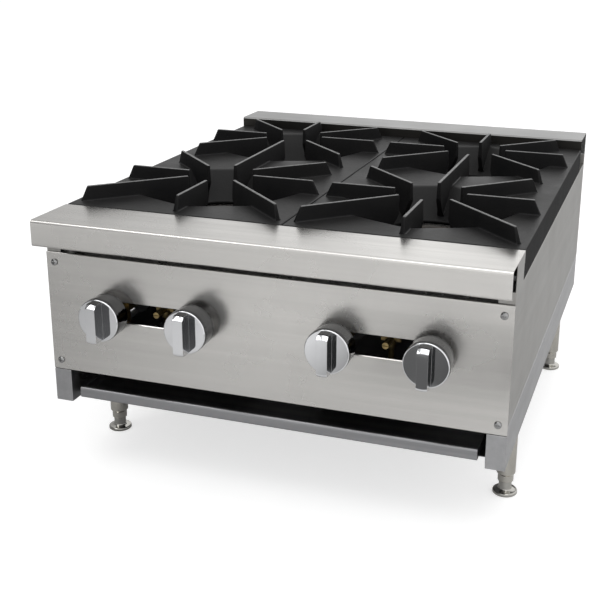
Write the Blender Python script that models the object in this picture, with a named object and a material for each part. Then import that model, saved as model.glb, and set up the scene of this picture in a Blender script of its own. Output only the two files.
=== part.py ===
"""A countertop gas hot plate with four burners, for a commercial kitchen.

Metres, +Z up. The origin is on the table, under the middle of the whole appliance. The front, with the control
panel and the knobs, faces -Y, and +X is to the right of someone who faces the front.
"""

import math

import bmesh
import bpy
from mathutils import Matrix, Vector

# Overall sizes
body_width = 0.6096
body_depth = 0.762
body_height = 0.260
leg_height = 0.1016

# Sheet metal
sheet = 0.0012
joint_gap = 0.0003
side_seam_height = 0.0545
side_top_drop = 0.038
flange_width = 0.016
side_flange_width = 0.020

# Front rail and rear rail
front_rail_depth = 0.0868
front_lip_height = 0.0346
front_lip_return = 0.007
rail_edge_radius = 0.004
rear_rail_depth = 0.0727
rear_rail_rise = 0.016
rear_rail_back_leg = 0.037

# Control panel
panel_setback = 0.0312
panel_top_drop = 0.050
panel_bottom_drop = 0.2142
slot_length = 0.1524
slot_height = 0.0275
slot_centre_drop = 0.122
screw_inset = 0.0115
screw_drops = (0.0635, 0.2005)
screw_head_radius = 0.0046
screw_shank_radius = 0.0021

# Burners, knobs and what joins them
front_burner_inset = 0.1609
rear_burner_inset = 0.1443
knob_offset = 0.060
knob_radius = 0.0285
knob_skirt_radius = 0.0275
knob_wall = 0.0025
knob_face_reach = 0.037
knob_skirt_depth = 0.027
knob_bar_width = 0.0135
knob_bar_reach = 0.018
knob_bar_top = 0.027
knob_bar_bottom = 0.0255
stem_radius = 0.004
stem_clearance = 0.0003

# Top grates
grate_gap = 0.0008
grate_wall = 0.006
grate_skirt_height = 0.033
bowl_crease_radius = 0.118
bowl_hole_radius = 0.057
fin_height = 0.020
fin_thickness = 0.0065
fin_inner_radius = 0.049
fin_inner_drop = 0.006
fin_end_slope = 0.009
fin_edge_margin = 0.005
straight_fin_reach = 0.147
between_fin_reach = 0.175
front_corner_fin_reach = 0.200
back_corner_fin_reach = 0.168

# Burners
head_radius = 0.046
head_top_drop = 0.039
head_height = 0.014
bowl_radius = 0.044
bowl_height = 0.026
venturi_radius = 0.016
venturi_bore_radius = 0.0125
venturi_mouth_radius = 0.021
venturi_mouth_depth = 0.004
venturi_bore_depth = 0.05
shutter_thickness = 0.0015
shutter_window_angle = 60.0
hood_radius = 0.006
hood_clearance = 0.001
mouth_gap = 0.014

# Gas train
manifold_radius = 0.0107
manifold_drop = 0.160
bracket_length = 0.048
bracket_half_height = 0.012
supply_radius = 0.0133
supply_end_inset = 0.030
inlet_reach = 0.024
inlet_hex_radius = 0.019
inlet_bore_radius = 0.0095
inlet_hole_clearance = 0.002
valve_radius = 0.012
valve_length = 0.034
valve_setback = 0.016
nipple_radius = 0.0065
pilot_valve_radius = 0.006
pilot_nut_reach = 0.0125
pilot_nut_radius = 0.0055
pilot_tube_radius = 0.0024

# Support bars under the burners
bar_width = 0.030
bar_height = 0.004
bar_end_flange = 0.020

# Base, crumb tray, legs and feet
post_width = 0.0244
post_depth = 0.0201
runner_reach = 0.046
runner_rise = 0.0046
tray_side_gap = 0.0101
tray_bar_setback = 0.0038
tray_bar_height = 0.015
tray_bar_depth = 0.010
tray_wall_height = 0.012
tray_stop_gap = 0.001
base_cross_depth = 0.024
leg_inset_x = 0.0170
front_leg_inset = 0.1638
rear_leg_inset = 0.1533
leg_radius = 0.0127
leg_neck_radius = 0.0105
leg_neck_height = 0.010
foot_radius = 0.0165
foot_flange_height = 0.006
foot_stud_radius = 0.006
foot_stud_clearance = 0.0003
foot_stud_length = 0.050
foot_neck_height = 0.012

# Places worked out from the sizes
half_width = body_width / 2
column_x = half_width / 2
knob_reach = knob_face_reach + knob_bar_reach - panel_setback
rail_front = -(body_depth + inlet_reach - knob_reach) / 2
body_back = rail_front + body_depth
rail_top = leg_height + body_height
base_top = leg_height + side_seam_height
side_top = rail_top - side_top_drop
panel_front = rail_front + panel_setback
panel_top = rail_top - panel_top_drop
panel_bottom = rail_top - panel_bottom_drop
knob_z = rail_top - slot_centre_drop
front_rail_back = rail_front + front_rail_depth
rear_rail_front = body_back - rear_rail_depth
side_front = panel_front + sheet + joint_gap
inside_x = half_width - sheet
manifold_end = inside_x - joint_gap - bracket_length - joint_gap
tray_half_width = half_width - post_width - tray_side_gap
manifold_y = side_front + valve_setback + valve_length / 2
manifold_z = rail_top - manifold_drop
valve_back = side_front + valve_setback + valve_length
cross_back = body_back - sheet - 2 * joint_gap
bar_top = knob_z - venturi_radius - joint_gap
columns = {"left": -1, "right": 1}
burners = {
    "front": (front_rail_back + front_burner_inset, 1),
    "rear": (rear_rail_front - rear_burner_inset, -1),
}


# Helpers


def clear_scene():
    for thing in list(bpy.data.objects):
        bpy.data.objects.remove(thing, do_unlink=True)


def make_material(name, colour, roughness, metallic):
    made = bpy.data.materials.new(name)
    made.use_nodes = True
    shader = made.node_tree.nodes["Principled BSDF"]
    shader.inputs["Base Color"].default_value = (*colour, 1.0)
    shader.inputs["Roughness"].default_value = roughness
    shader.inputs["Metallic"].default_value = metallic
    made.diffuse_color = (*colour, 1.0)
    return made


def add_object(name, mesh, finish=None, smooth_angle=None):
    """Links a new object. With a smooth angle, faces that meet at less than it are shaded smooth."""
    made = bpy.data.objects.new(name, mesh)
    bpy.context.scene.collection.objects.link(made)
    if finish:
        colour, roughness, metallic = finish
        mesh.materials.clear()
        mesh.materials.append(make_material(name, colour, roughness, metallic))
    if smooth_angle:
        mesh.shade_smooth()
        mesh.set_sharp_from_angle(angle=math.radians(smooth_angle))
    return made


def mesh_from(name, work):
    bmesh.ops.recalc_face_normals(work, faces=work.faces)
    mesh = bpy.data.meshes.new(name)
    work.to_mesh(mesh)
    work.free()
    return mesh


def prism(name, outline, start, end, axis):
    """Extrudes a closed outline along an axis. The outline's pairs are the other two axes, in X, Y, Z order."""
    others = [index for index in range(3) if index != "XYZ".index(axis)]
    work = bmesh.new()
    corners = []
    for first, second in outline:
        place = [0.0, 0.0, 0.0]
        place["XYZ".index(axis)] = start
        place[others[0]] = first
        place[others[1]] = second
        corners.append(work.verts.new(place))
    face = work.faces.new(corners)
    moved = bmesh.ops.extrude_face_region(work, geom=[face])
    shift = Vector((0, 0, 0))
    shift["XYZ".index(axis)] = end - start
    fresh = [item for item in moved["geom"] if isinstance(item, bmesh.types.BMVert)]
    bmesh.ops.translate(work, verts=fresh, vec=shift)
    return mesh_from(name, work)


def box(name, low, high):
    outline = [(low[0], low[1]), (high[0], low[1]), (high[0], high[1]), (low[0], high[1])]
    return prism(name, outline, low[2], high[2], "Z")


def folded(line, thickness):
    """The closed outline of a sheet that follows a line of points. The sheet lies on the line's left."""
    points = [Vector(point) for point in line]
    offset = []
    for index, point in enumerate(points):
        normals = []
        for start in (index - 1, index):
            if 0 <= start < len(points) - 1:
                along = (points[start + 1] - points[start]).normalized()
                normals.append(Vector((-along.y, along.x)))
        mitre = sum(normals, Vector((0, 0))).normalized()
        offset.append(point + mitre * thickness / mitre.dot(normals[0]))
    return [tuple(point) for point in points + offset[::-1]]


def arc(centre, radius, start, end, steps):
    """Points along an arc, in degrees."""
    found = []
    for step in range(steps + 1):
        angle = math.radians(start + (end - start) * step / steps)
        found.append((centre[0] + radius * math.cos(angle), centre[1] + radius * math.sin(angle)))
    return found


def turned(name, profile, segments, phase=0.0):
    """A body of revolution about Z. The profile is a closed outline of (radius, height) pairs."""
    work = bmesh.new()
    rings = []
    for radius, height in profile:
        if radius == 0:
            rings.append([work.verts.new((0, 0, height))] * segments)
            continue
        ring = []
        for step in range(segments):
            angle = math.tau * (step + phase) / segments
            ring.append(work.verts.new((radius * math.cos(angle), radius * math.sin(angle), height)))
        rings.append(ring)
    for index, ring in enumerate(rings):
        following = rings[(index + 1) % len(rings)]
        for step in range(segments):
            onward = (step + 1) % segments
            corners = [ring[step], ring[onward], following[onward], following[step]]
            distinct = list(dict.fromkeys(corners))
            if len(distinct) > 2:
                work.faces.new(distinct)
    return mesh_from(name, work)


def rod(name, start, end, radius, segments):
    """A solid cylinder between two points."""
    start = Vector(start)
    end = Vector(end)
    work = bmesh.new()
    along = end - start
    turn = along.to_track_quat("Z", "Y").to_matrix().to_4x4()
    bmesh.ops.create_cone(
        work,
        cap_ends=True,
        segments=segments,
        radius1=radius,
        radius2=radius,
        depth=along.length,
        matrix=Matrix.Translation((start + end) / 2) @ turn,
    )
    return mesh_from(name, work)


def combine(target, operation, meshes):
    """Joins meshes to an object, or cuts them from it, with one boolean for each."""
    for index, mesh in enumerate(meshes):
        tool = add_object(f"{target.name}.{operation.lower()}.{index}", mesh)
        tool.matrix_world = target.matrix_world.copy()
        tool.hide_render = True
        tool.display_type = "WIRE"
        modifier = target.modifiers.new(f"{operation.title()} {index}", "BOOLEAN")
        modifier.operation = operation
        modifier.solver = "EXACT"
        modifier.object = tool


def facing_front(x, y, z):
    """Turns +Z of a turned mesh to -Y, and puts its origin at a place."""
    return Matrix.Translation((x, y, z)) @ Matrix.Rotation(math.radians(90), 4, "X")


# Finishes: colour, roughness, metallic
brushed = ((0.62, 0.60, 0.57), 0.32, 1.0)
brushed_dark = ((0.48, 0.47, 0.45), 0.38, 1.0)
galvanised = ((0.45, 0.46, 0.47), 0.45, 1.0)
chrome = ((0.80, 0.80, 0.81), 0.06, 1.0)
cast_iron = ((0.018, 0.018, 0.020), 0.55, 0.3)
burner_iron = ((0.055, 0.050, 0.047), 0.75, 0.5)
brass = ((0.62, 0.42, 0.16), 0.30, 1.0)
copper = ((0.60, 0.30, 0.18), 0.30, 1.0)
black_pipe = ((0.04, 0.04, 0.042), 0.50, 0.6)
tray_steel = ((0.20, 0.20, 0.21), 0.42, 1.0)


# Sheet-metal body


def add_front_rail():
    """The landing ledge: a return, a front lip, a rounded edge, the flat top and a rear flange."""
    front = rail_front
    bottom = rail_top - front_lip_height
    line = [(front + front_lip_return, bottom), (front, bottom)]
    corner = (front + rail_edge_radius, rail_top - rail_edge_radius)
    line += arc(corner, rail_edge_radius, 180, 90, 4)
    line += [(front_rail_back, rail_top), (front_rail_back, rail_top - flange_width)]
    mesh = prism("front_rail", folded(line[::-1], sheet), -half_width, half_width, "X")
    add_object("front_rail", mesh, brushed, 30)


def add_control_panel():
    """A flat panel that stops short of the rail, with top and bottom flanges, valve slots and screw holes."""
    back = panel_front + flange_width
    line = [(back, panel_top), (panel_front, panel_top), (panel_front, panel_bottom), (back, panel_bottom)]
    mesh = prism("control_panel", folded(line, sheet), -half_width, half_width, "X")
    panel = add_object("control_panel", mesh, brushed)
    side_notch = sheet + joint_gap
    cuts = []
    for sign in columns.values():
        middle = sign * column_x
        low = (middle - slot_length / 2, panel_front - sheet, knob_z - slot_height / 2)
        high = (middle + slot_length / 2, panel_front + 2 * sheet, knob_z + slot_height / 2)
        cuts.append(box("slot", low, high))
        edges = sorted((sign * (half_width - side_notch), sign * (half_width + sheet)))
        low = (edges[0], side_front - joint_gap / 2, panel_bottom - sheet)
        high = (edges[1], back + sheet, rail_top)
        cuts.append(box("side_notch", low, high))
        edges = sorted((sign * (half_width - side_flange_width - joint_gap), sign * (half_width + sheet)))
        low = (edges[0], side_front - joint_gap / 2, panel_top - 2 * sheet)
        cuts.append(box("flange_notch", low, (edges[1], back + sheet, rail_top)))
        cuts += screw_holes(sign)
    combine(panel, "DIFFERENCE", cuts)


def screw_places(sign):
    return [(sign * (half_width - screw_inset), rail_top - drop) for drop in screw_drops]


def screw_holes(sign):
    """Cutters for the panel screws, long enough for the panel and the flange behind it."""
    radius = screw_shank_radius + 2 * joint_gap
    found = []
    for x, z in screw_places(sign):
        start = (x, panel_front - sheet, z)
        end = (x, side_front + 3 * sheet, z)
        found.append(rod("screw_hole", start, end, radius, 12))
    return found


def add_panel_screws():
    head = 0.0026
    shank = 0.010
    for side, sign in columns.items():
        for level, (x, z) in zip(("top", "bottom"), screw_places(sign)):
            profile = [(0, head), (screw_head_radius * 0.6, head), (screw_head_radius, head * 0.45)]
            profile += [(screw_head_radius, 0), (screw_shank_radius, 0)]
            profile += [(screw_shank_radius, -shank), (0, -shank)]
            mesh = turned("panel_screw", profile, 12)
            screw = add_object(f"panel_screw_{side}_{level}", mesh, chrome, 50)
            screw.matrix_world = facing_front(x, panel_front - joint_gap, z)


def add_side_panels():
    """Each side is a sheet with an upright tab under the front rail, and inward flanges at the front, back and top."""
    tab_back = front_rail_back - joint_gap - sheet
    tab_top = rail_top - sheet - joint_gap
    low = base_top + joint_gap
    back = body_back - sheet - joint_gap
    for side, sign in columns.items():
        outline = [
            (side_front, low),
            (back, low),
            (back, side_top),
            (tab_back, side_top),
            (tab_back, tab_top),
            (side_front, tab_top),
        ]
        outer = sign * half_width
        inner = sign * inside_x
        mesh = prism("side_panel", outline, outer, inner, "X")
        panel = add_object(f"side_panel_{side}", mesh, brushed)
        reach = sorted((outer, sign * (half_width - side_flange_width)))
        flange_top = rail_top - front_lip_height - joint_gap
        front_low = (reach[0], side_front, low)
        front_high = (reach[1], side_front + sheet, flange_top)
        back_low = (reach[0], back - sheet, low)
        back_high = (reach[1], back, side_top)
        top_low = (reach[0], tab_back, side_top - sheet)
        top_high = (reach[1], back, side_top)
        flanges = [
            box("front_flange", front_low, front_high),
            box("back_flange", back_low, back_high),
            box("top_flange", top_low, top_high),
        ]
        combine(panel, "UNION", flanges)
        combine(panel, "DIFFERENCE", screw_holes(sign))


def add_back_panel():
    """The back sheet, with the hole that the gas inlet comes through."""
    low = (-half_width, body_back - sheet, base_top + joint_gap)
    high = (half_width, body_back, rail_top - rear_rail_back_leg + rear_rail_rise - joint_gap)
    panel = add_object("back_panel", box("back_panel", low, high), brushed_dark)
    start = (0, body_back - 2 * sheet, manifold_z)
    end = (0, body_back + sheet, manifold_z)
    hole = rod("inlet_hole", start, end, supply_radius + inlet_hole_clearance, 24)
    combine(panel, "DIFFERENCE", [hole])


def add_rear_rail():
    """An inverted channel behind the grates, higher than the front rail."""
    top = rail_top + rear_rail_rise
    front_foot = side_top + joint_gap
    back_foot = top - rear_rail_back_leg
    line = [
        (rear_rail_front, front_foot),
        (rear_rail_front, top),
        (body_back, top),
        (body_back, back_foot),
    ]
    mesh = prism("rear_rail", folded(line[::-1], sheet), -half_width, half_width, "X")
    add_object("rear_rail", mesh, brushed)


def add_grate_ledges():
    """Two low channels, behind the front rail and before the rear one, that carry the grates' skirts."""
    top = rail_top - grate_skirt_height - joint_gap
    foot = side_top + joint_gap
    reach = inside_x - joint_gap
    depth = 0.022
    starts = {
        "front": front_rail_back + joint_gap,
        "rear": rear_rail_front - joint_gap - depth,
    }
    for place, start in starts.items():
        end = start + depth
        line = [(start, foot), (start, top), (end, top), (end, foot)]
        mesh = prism("grate_ledge", folded(line[::-1], sheet), -reach, reach, "X")
        add_object(f"grate_ledge_{place}", mesh, galvanised)


# Base, crumb tray, legs and feet


def add_base_rails():
    """Each base rail is a folded channel with a runner for the tray, and a closed post at its front."""
    bottom = leg_height
    runner = bottom + runner_rise
    post_inner = half_width - post_width
    back = body_back - sheet - joint_gap
    post_top = panel_bottom - joint_gap
    for side, sign in columns.items():
        line = [
            (half_width - flange_width, base_top),
            (half_width, base_top),
            (half_width, bottom),
            (post_inner, bottom),
            (post_inner, runner),
            (half_width - runner_reach, runner),
        ]
        channel = [(sign * x, z) for x, z in folded(line[::-1], sheet)]
        start = panel_front + post_depth - sheet
        mesh = prism("base_rail", channel, start, back, "Y")
        rail = add_object(f"base_rail_{side}", mesh, brushed)
        web = sorted((sign * half_width, sign * inside_x))
        post = sorted((sign * half_width, sign * post_inner))
        pieces = [
            box("web", (web[0], side_front, bottom), (web[1], start + sheet, base_top)),
            box("post", (post[0], panel_front, bottom), (post[1], panel_front + post_depth, post_top)),
        ]
        combine(rail, "UNION", pieces)


def add_base_cross():
    """A channel across the back of the base. It also stops the tray."""
    front = cross_back - base_cross_depth
    low = leg_height + runner_rise + sheet + joint_gap
    high = base_top - sheet - joint_gap
    line = [(cross_back, high), (front, high), (front, low), (cross_back, low)]
    reach = inside_x - joint_gap
    mesh = prism("base_cross_rear", folded(line, sheet), -reach, reach, "X")
    add_object("base_cross_rear", mesh, galvanised)


def add_crumb_tray():
    """A shallow pan on the two runners, with a rolled bar across its front."""
    floor_z = leg_height + runner_rise + sheet + joint_gap
    front = panel_front + tray_bar_setback
    back = cross_back - base_cross_depth - tray_stop_gap
    wall_top = floor_z + tray_wall_height
    outline = [(-tray_half_width, floor_z), (tray_half_width, floor_z)]
    outline += [(tray_half_width, wall_top), (tray_half_width - sheet, wall_top)]
    outline += [(tray_half_width - sheet, floor_z + sheet), (sheet - tray_half_width, floor_z + sheet)]
    outline += [(sheet - tray_half_width, wall_top), (-tray_half_width, wall_top)]
    mesh = prism("crumb_tray", outline, front + tray_bar_depth / 2, back, "Y")
    tray = add_object("crumb_tray", mesh, tray_steel)
    bar_low = (-tray_half_width, front, floor_z)
    bar_high = (tray_half_width, front + tray_bar_depth, floor_z + tray_bar_height)
    back_low = (-tray_half_width, back - sheet, floor_z)
    back_high = (tray_half_width, back, wall_top)
    combine(tray, "UNION", [box("bar", bar_low, bar_high), box("back", back_low, back_high)])


def leg_places():
    for side, sign in columns.items():
        for place, y in (("front", rail_front + front_leg_inset), ("rear", body_back - rear_leg_inset)):
            yield f"{side}_{place}", sign * (half_width - leg_inset_x), y


def add_legs():
    """Round tubes with a narrower neck, bored from below for the foot's stud."""
    foot_top = foot_flange_height + foot_neck_height
    bore = foot_stud_radius + foot_stud_clearance
    top = leg_height - joint_gap
    neck_start = foot_top + leg_neck_height
    profile = [(0, top), (leg_radius, top), (leg_radius, neck_start + 0.003), (leg_neck_radius, neck_start)]
    profile += [(leg_neck_radius, foot_top + joint_gap), (bore, foot_top + joint_gap)]
    profile += [(bore, foot_top + foot_stud_length), (0, foot_top + foot_stud_length)]
    for name, x, y in leg_places():
        leg = add_object(f"leg_{name}", turned("leg", profile, 20), chrome, 40)
        leg.matrix_world = Matrix.Translation((x, y, 0))


def add_feet():
    """Screw-in feet: a round flange on the table, a neck and a stud that runs up the leg."""
    neck = leg_neck_radius - 0.002
    foot_top = foot_flange_height + foot_neck_height
    stud_top = foot_top + foot_stud_length - 0.004
    profile = [(0, stud_top), (foot_stud_radius, stud_top), (foot_stud_radius, foot_top), (neck, foot_top)]
    profile += [(neck, foot_flange_height + 0.002), (foot_radius, foot_flange_height - 0.001)]
    profile += [(foot_radius, 0.001), (foot_radius - 0.001, 0), (0, 0)]
    for name, x, y in leg_places():
        foot = add_object(f"foot_{name}", turned("foot", profile, 20), chrome, 40)
        foot.matrix_world = Matrix.Translation((x, y, 0))


# Top grates


def cell_limits(sign, place):
    """The part of a grate that belongs to one burner: its lowest and highest X, and its front and back."""
    near = sign * grate_gap / 2
    far = sign * half_width
    between = (burners["front"][0] + burners["rear"][0]) / 2
    if place == "front":
        return min(near, far), max(near, far), front_rail_back + grate_gap, between
    return min(near, far), max(near, far), between, rear_rail_front - grate_gap


def edge_point(centre, limits, angle):
    """Where a ray from the burner's centre leaves its cell of the grate."""
    across, along = math.cos(angle), math.sin(angle)
    reaches = []
    if abs(across) > 1e-6:
        wall = limits[1] if across > 0 else limits[0]
        reaches.append((wall - centre[0]) / across)
    if abs(along) > 1e-6:
        wall = limits[3] if along > 0 else limits[2]
        reaches.append((wall - centre[1]) / along)
    reach = min(reaches)
    return centre[0] + reach * across, centre[1] + reach * along


def cell_angles(centre, limits, steps_per_sector):
    """Angles in each eighth of a turn between two fins, with the cell's four corners among them."""
    corners = [math.atan2(y - centre[1], x - centre[0]) % math.tau for x in limits[:2] for y in limits[2:]]
    sector = math.tau / 8
    angles = [sector * (index / steps_per_sector) for index in range(8 * steps_per_sector)]
    for corner in corners:
        nearest = min(angles, key=lambda angle: abs((angle - corner + math.pi) % math.tau - math.pi))
        angles[angles.index(nearest)] = corner
    return sorted(angles)


def octagon_radius(angle, corner_radius):
    """The radius of an octagon whose corners are on the fins."""
    sector = math.tau / 8
    within = angle % sector - sector / 2
    return corner_radius * math.cos(sector / 2) / math.cos(within)


def grate_shell(sign):
    """The thin casting without its fins: a flat top with two bowls, and a skirt all round."""
    work = bmesh.new()
    top = rail_top
    for place, (burner_y, _) in burners.items():
        limits = cell_limits(sign, place)
        seam = limits[3] if place == "front" else limits[2]
        centre = (sign * column_x, burner_y)
        angles = cell_angles(centre, limits, 4)
        base = Vector((*centre, 0))
        rings = []
        for angle in angles:
            direction = Vector((math.cos(angle), math.sin(angle), 0))
            edge = edge_point(centre, limits, angle)
            hole_point = base + direction * bowl_hole_radius
            crease_point = base + direction * octagon_radius(angle, bowl_crease_radius)
            rings.append(
                (
                    (hole_point.x, hole_point.y, top - grate_skirt_height),
                    (crease_point.x, crease_point.y, top),
                    (*edge, top),
                    (*edge, top - grate_skirt_height),
                )
            )
        made = [[work.verts.new(point) for point in ring] for ring in rings]
        for index, ring in enumerate(made):
            following = made[(index + 1) % len(made)]
            for level in range(3):
                corners = (ring[level], ring[level + 1], following[level + 1], following[level])
                on_seam = all(abs(vert.co.y - seam) < 1e-6 for vert in corners)
                if level == 2 and on_seam:
                    continue
                work.faces.new(corners)
    bmesh.ops.remove_doubles(work, verts=work.verts, dist=1e-5)
    return mesh_from("grate", work)


def fin_profile(reach, inner=fin_inner_radius):
    """A fin's side view as (distance from the burner's centre, height). Its foot lies in the middle of the casting."""
    root = grate_wall / 2
    slope = grate_skirt_height / (bowl_crease_radius - bowl_hole_radius)
    toe = bowl_hole_radius + 0.010
    toe_drop = grate_skirt_height - slope * (toe - bowl_hole_radius) + root
    return [
        (inner, fin_height),
        (inner, -fin_inner_drop),
        (toe, -toe_drop),
        (bowl_crease_radius, -root),
        (reach, -root),
        (reach - fin_end_slope, fin_height),
    ]


def fin_reach(place, centre, limits, angle):
    """How far a fin goes from its burner's centre. It stops short of the casting's edge."""
    across = round(math.cos(angle), 6)
    along = round(math.sin(angle), 6)
    toward_middle = burners[place][1]
    if not across or not along:
        reach = straight_fin_reach
    elif along * toward_middle > 0:
        reach = between_fin_reach
    elif place == "front":
        reach = front_corner_fin_reach
    else:
        reach = back_corner_fin_reach
    edge = Vector(edge_point(centre, limits, angle)) - Vector(centre)
    return min(reach, edge.length - fin_edge_margin)


def fin_mesh(centre, angle, outline):
    """A fin of even thickness that stands on a line from the burner's centre."""
    mesh = prism("fin", outline, -fin_thickness / 2, fin_thickness / 2, "Y")
    mesh.transform(Matrix.Translation((*centre, rail_top)) @ Matrix.Rotation(angle, 4, "Z"))
    return mesh


def shared_fin_outline(length):
    """The fin between a front and a rear burner, seen from the side. It has an inner end at each burner."""
    half = fin_profile(length / 2)[:4]
    other = [(length - reach, height) for reach, height in half]
    return half + other[::-1]


def grate_fins(sign):
    """Eight fins to a burner, an eighth of a turn apart. The one between the burners is shared."""
    middle = sign * column_x
    fins = []
    for place, (burner_y, toward_middle) in burners.items():
        centre = (middle, burner_y)
        limits = cell_limits(sign, place)
        shared = math.tau / 4 * toward_middle
        for index in range(8):
            angle = index * math.tau / 8
            if math.isclose(math.cos(angle - shared), 1):
                continue
            outline = fin_profile(fin_reach(place, centre, limits, angle))
            fins.append(fin_mesh(centre, angle, outline))
    length = burners["rear"][0] - burners["front"][0]
    front_centre = (middle, burners["front"][0])
    fins.append(fin_mesh(front_centre, math.tau / 4, shared_fin_outline(length)))
    return fins


def add_grates():
    for side, sign in columns.items():
        grate = add_object(f"grate_{side}", grate_shell(sign), cast_iron)
        shell = grate.modifiers.new("Casting thickness", "SOLIDIFY")
        shell.thickness = grate_wall
        shell.offset = -1
        shell.use_even_offset = True
        shell.use_quality_normals = True
        combine(grate, "UNION", grate_fins(sign))


# Burners


def valve_x(sign, place):
    """The outer valve of each pair feeds the front burner, and the inner one the rear burner."""
    toward_outside = 1 if place == "front" else -1
    return sign * (column_x + toward_outside * knob_offset)


def burner_sites():
    """Each burner's name and centre, the middle of its valve's back, and the direction between the two."""
    for side, sign in columns.items():
        for place, (y, _) in burners.items():
            centre = Vector((sign * column_x, y, knob_z))
            outlet = Vector((valve_x(sign, place), valve_back, knob_z))
            yield f"{side}_{place}", centre, outlet, (centre - outlet).normalized()


def along_axis(origin, direction):
    """A frame at a place, with its +Z along a direction."""
    return Matrix.Translation(origin) @ direction.to_track_quat("Z", "X").to_matrix().to_4x4()


def add_burner_bodies():
    """A cast bowl with a neck, on a straight venturi tube that runs to the valve."""
    bowl_top = rail_top - head_top_drop - head_height - joint_gap
    wall = 0.004
    profile = [(bowl_radius, bowl_top - knob_z), (bowl_radius, bowl_top - knob_z - bowl_height * 0.5)]
    profile += [(venturi_radius + 0.003, bowl_top - knob_z - bowl_height), (venturi_radius, 0), (0, 0)]
    profile += [(0, bowl_top - knob_z - bowl_height), (bowl_radius * 0.5, bowl_top - knob_z - bowl_height + wall)]
    profile += [(bowl_radius - wall, bowl_top - knob_z - bowl_height * 0.5 + wall)]
    profile += [(bowl_radius - wall, bowl_top - knob_z)]
    for name, centre, outlet, direction in burner_sites():
        bowl = turned("burner_body", profile, 20)
        body = add_object(f"burner_body_{name}", bowl, burner_iron, 40)
        body.matrix_world = Matrix.Translation(centre)
        length = (centre - outlet).length - mouth_gap
        tube = [(0, venturi_radius * 0.7), (venturi_radius * 0.7, venturi_radius * 0.7)]
        tube += [(venturi_radius, 0), (venturi_radius, -length + venturi_mouth_depth)]
        tube += [(venturi_mouth_radius, -length + venturi_mouth_depth), (venturi_mouth_radius, -length)]
        tube += [(venturi_bore_radius, -length), (venturi_bore_radius, -length + venturi_bore_depth)]
        tube += [(0, -length + venturi_bore_depth)]
        mesh = turned("venturi", tube, 16)
        mesh.transform(along_axis(Vector((0, 0, 0)), direction))
        combine(body, "UNION", [mesh])


def add_burner_heads():
    """The removable caps: a rim with a raised ring and a boss in the middle."""
    low = rail_top - head_top_drop - head_height
    rim = head_height * 0.55
    profile = [(0, head_height), (0.012, head_height), (0.016, rim), (0.026, rim), (0.030, head_height)]
    profile += [(head_radius - 0.004, head_height), (head_radius, rim), (head_radius, 0)]
    profile += [(bowl_radius - 0.006, 0), (bowl_radius - 0.008, -0.004), (0, -0.004)]
    for name, centre, _, _ in burner_sites():
        head = add_object(f"burner_head_{name}", turned("burner_head", profile, 24), burner_iron, 40)
        head.matrix_world = Matrix.Translation((centre.x, centre.y, low))


def add_air_shutters():
    """A disc over each venturi's mouth, with two windows. It turns on the valve's hood."""
    hole = hood_radius + hood_clearance
    profile = [(venturi_mouth_radius, 0), (venturi_mouth_radius, shutter_thickness)]
    profile += [(hole, shutter_thickness), (hole, 0)]
    window_inner = hole + 0.002
    window_outer = venturi_mouth_radius - 0.004
    half_angle = shutter_window_angle / 2
    for name, _, outlet, direction in burner_sites():
        shutter = add_object(f"air_shutter_{name}", turned("air_shutter", profile, 20), galvanised, 40)
        place = outlet + direction * (mouth_gap - joint_gap - shutter_thickness)
        shutter.matrix_world = along_axis(place, direction)
        windows = []
        for turn in (90, 270):
            outline = arc((0, 0), window_outer, turn - half_angle, turn + half_angle, 5)
            outline += arc((0, 0), window_inner, turn + half_angle, turn - half_angle, 3)
            windows.append(prism("window", outline, -sheet, shutter_thickness + sheet, "Z"))
        combine(shutter, "DIFFERENCE", windows)


def add_support_bars():
    """Flat bars under the burners, turned down at both ends to meet the side panels."""
    reach = inside_x - joint_gap
    for place, (y, _) in burners.items():
        line = [
            (-reach, bar_top - bar_end_flange),
            (-reach, bar_top),
            (reach, bar_top),
            (reach, bar_top - bar_end_flange),
        ]
        outline = folded(line[::-1], bar_height)
        mesh = prism("burner_support", outline, y - bar_width / 2, y + bar_width / 2, "Y")
        add_object(f"burner_support_{place}", mesh, galvanised)


# Gas train


def add_manifold():
    """The pipe across the front with a tee to the supply run at the back."""
    start = (-manifold_end, manifold_y, manifold_z)
    end = (manifold_end, manifold_y, manifold_z)
    pipe = add_object("manifold_pipe", rod("manifold_pipe", start, end, manifold_radius, 16), black_pipe, 40)
    start = (0, manifold_y, manifold_z)
    end = (0, body_back - supply_end_inset, manifold_z)
    combine(pipe, "UNION", [rod("supply", start, end, supply_radius, 20)])


def add_manifold_brackets():
    """A folded bracket from each end of the manifold to the side panel."""
    low = manifold_z - bracket_half_height
    high = manifold_z + bracket_half_height
    for side, sign in columns.items():
        near = manifold_end + joint_gap
        far = inside_x - joint_gap
        front = manifold_y - bracket_half_height
        back = manifold_y + bracket_half_height
        line = [(near, front), (near, back), (far, back), (far, front)]
        outline = [(sign * x, y) for x, y in folded(line[::-1], sheet)]
        mesh = prism("manifold_bracket", outline, low, high, "Z")
        add_object(f"manifold_bracket_{side}", mesh, galvanised)


def add_gas_inlet():
    """The fitting at the back: a hexagon behind the back panel and a bored spigot through it."""
    start = body_back - supply_end_inset + joint_gap
    length = body_back + inlet_reach - start
    hexagon = [(0, 0), (inlet_hex_radius, 0), (inlet_hex_radius, 0.014), (0, 0.014)]
    mesh = turned("gas_inlet", hexagon, 6)
    inlet = add_object("gas_inlet", mesh, galvanised, 40)
    inlet.matrix_world = along_axis(Vector((0, start, manifold_z)), Vector((0, 1, 0)))
    spigot = [(0, 0.007), (supply_radius, 0.007), (supply_radius, length - 0.001)]
    spigot += [(supply_radius - 0.001, length), (inlet_bore_radius, length)]
    spigot += [(inlet_bore_radius, length - 0.025), (0, length - 0.025)]
    combine(inlet, "UNION", [turned("spigot", spigot, 20)])


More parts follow.
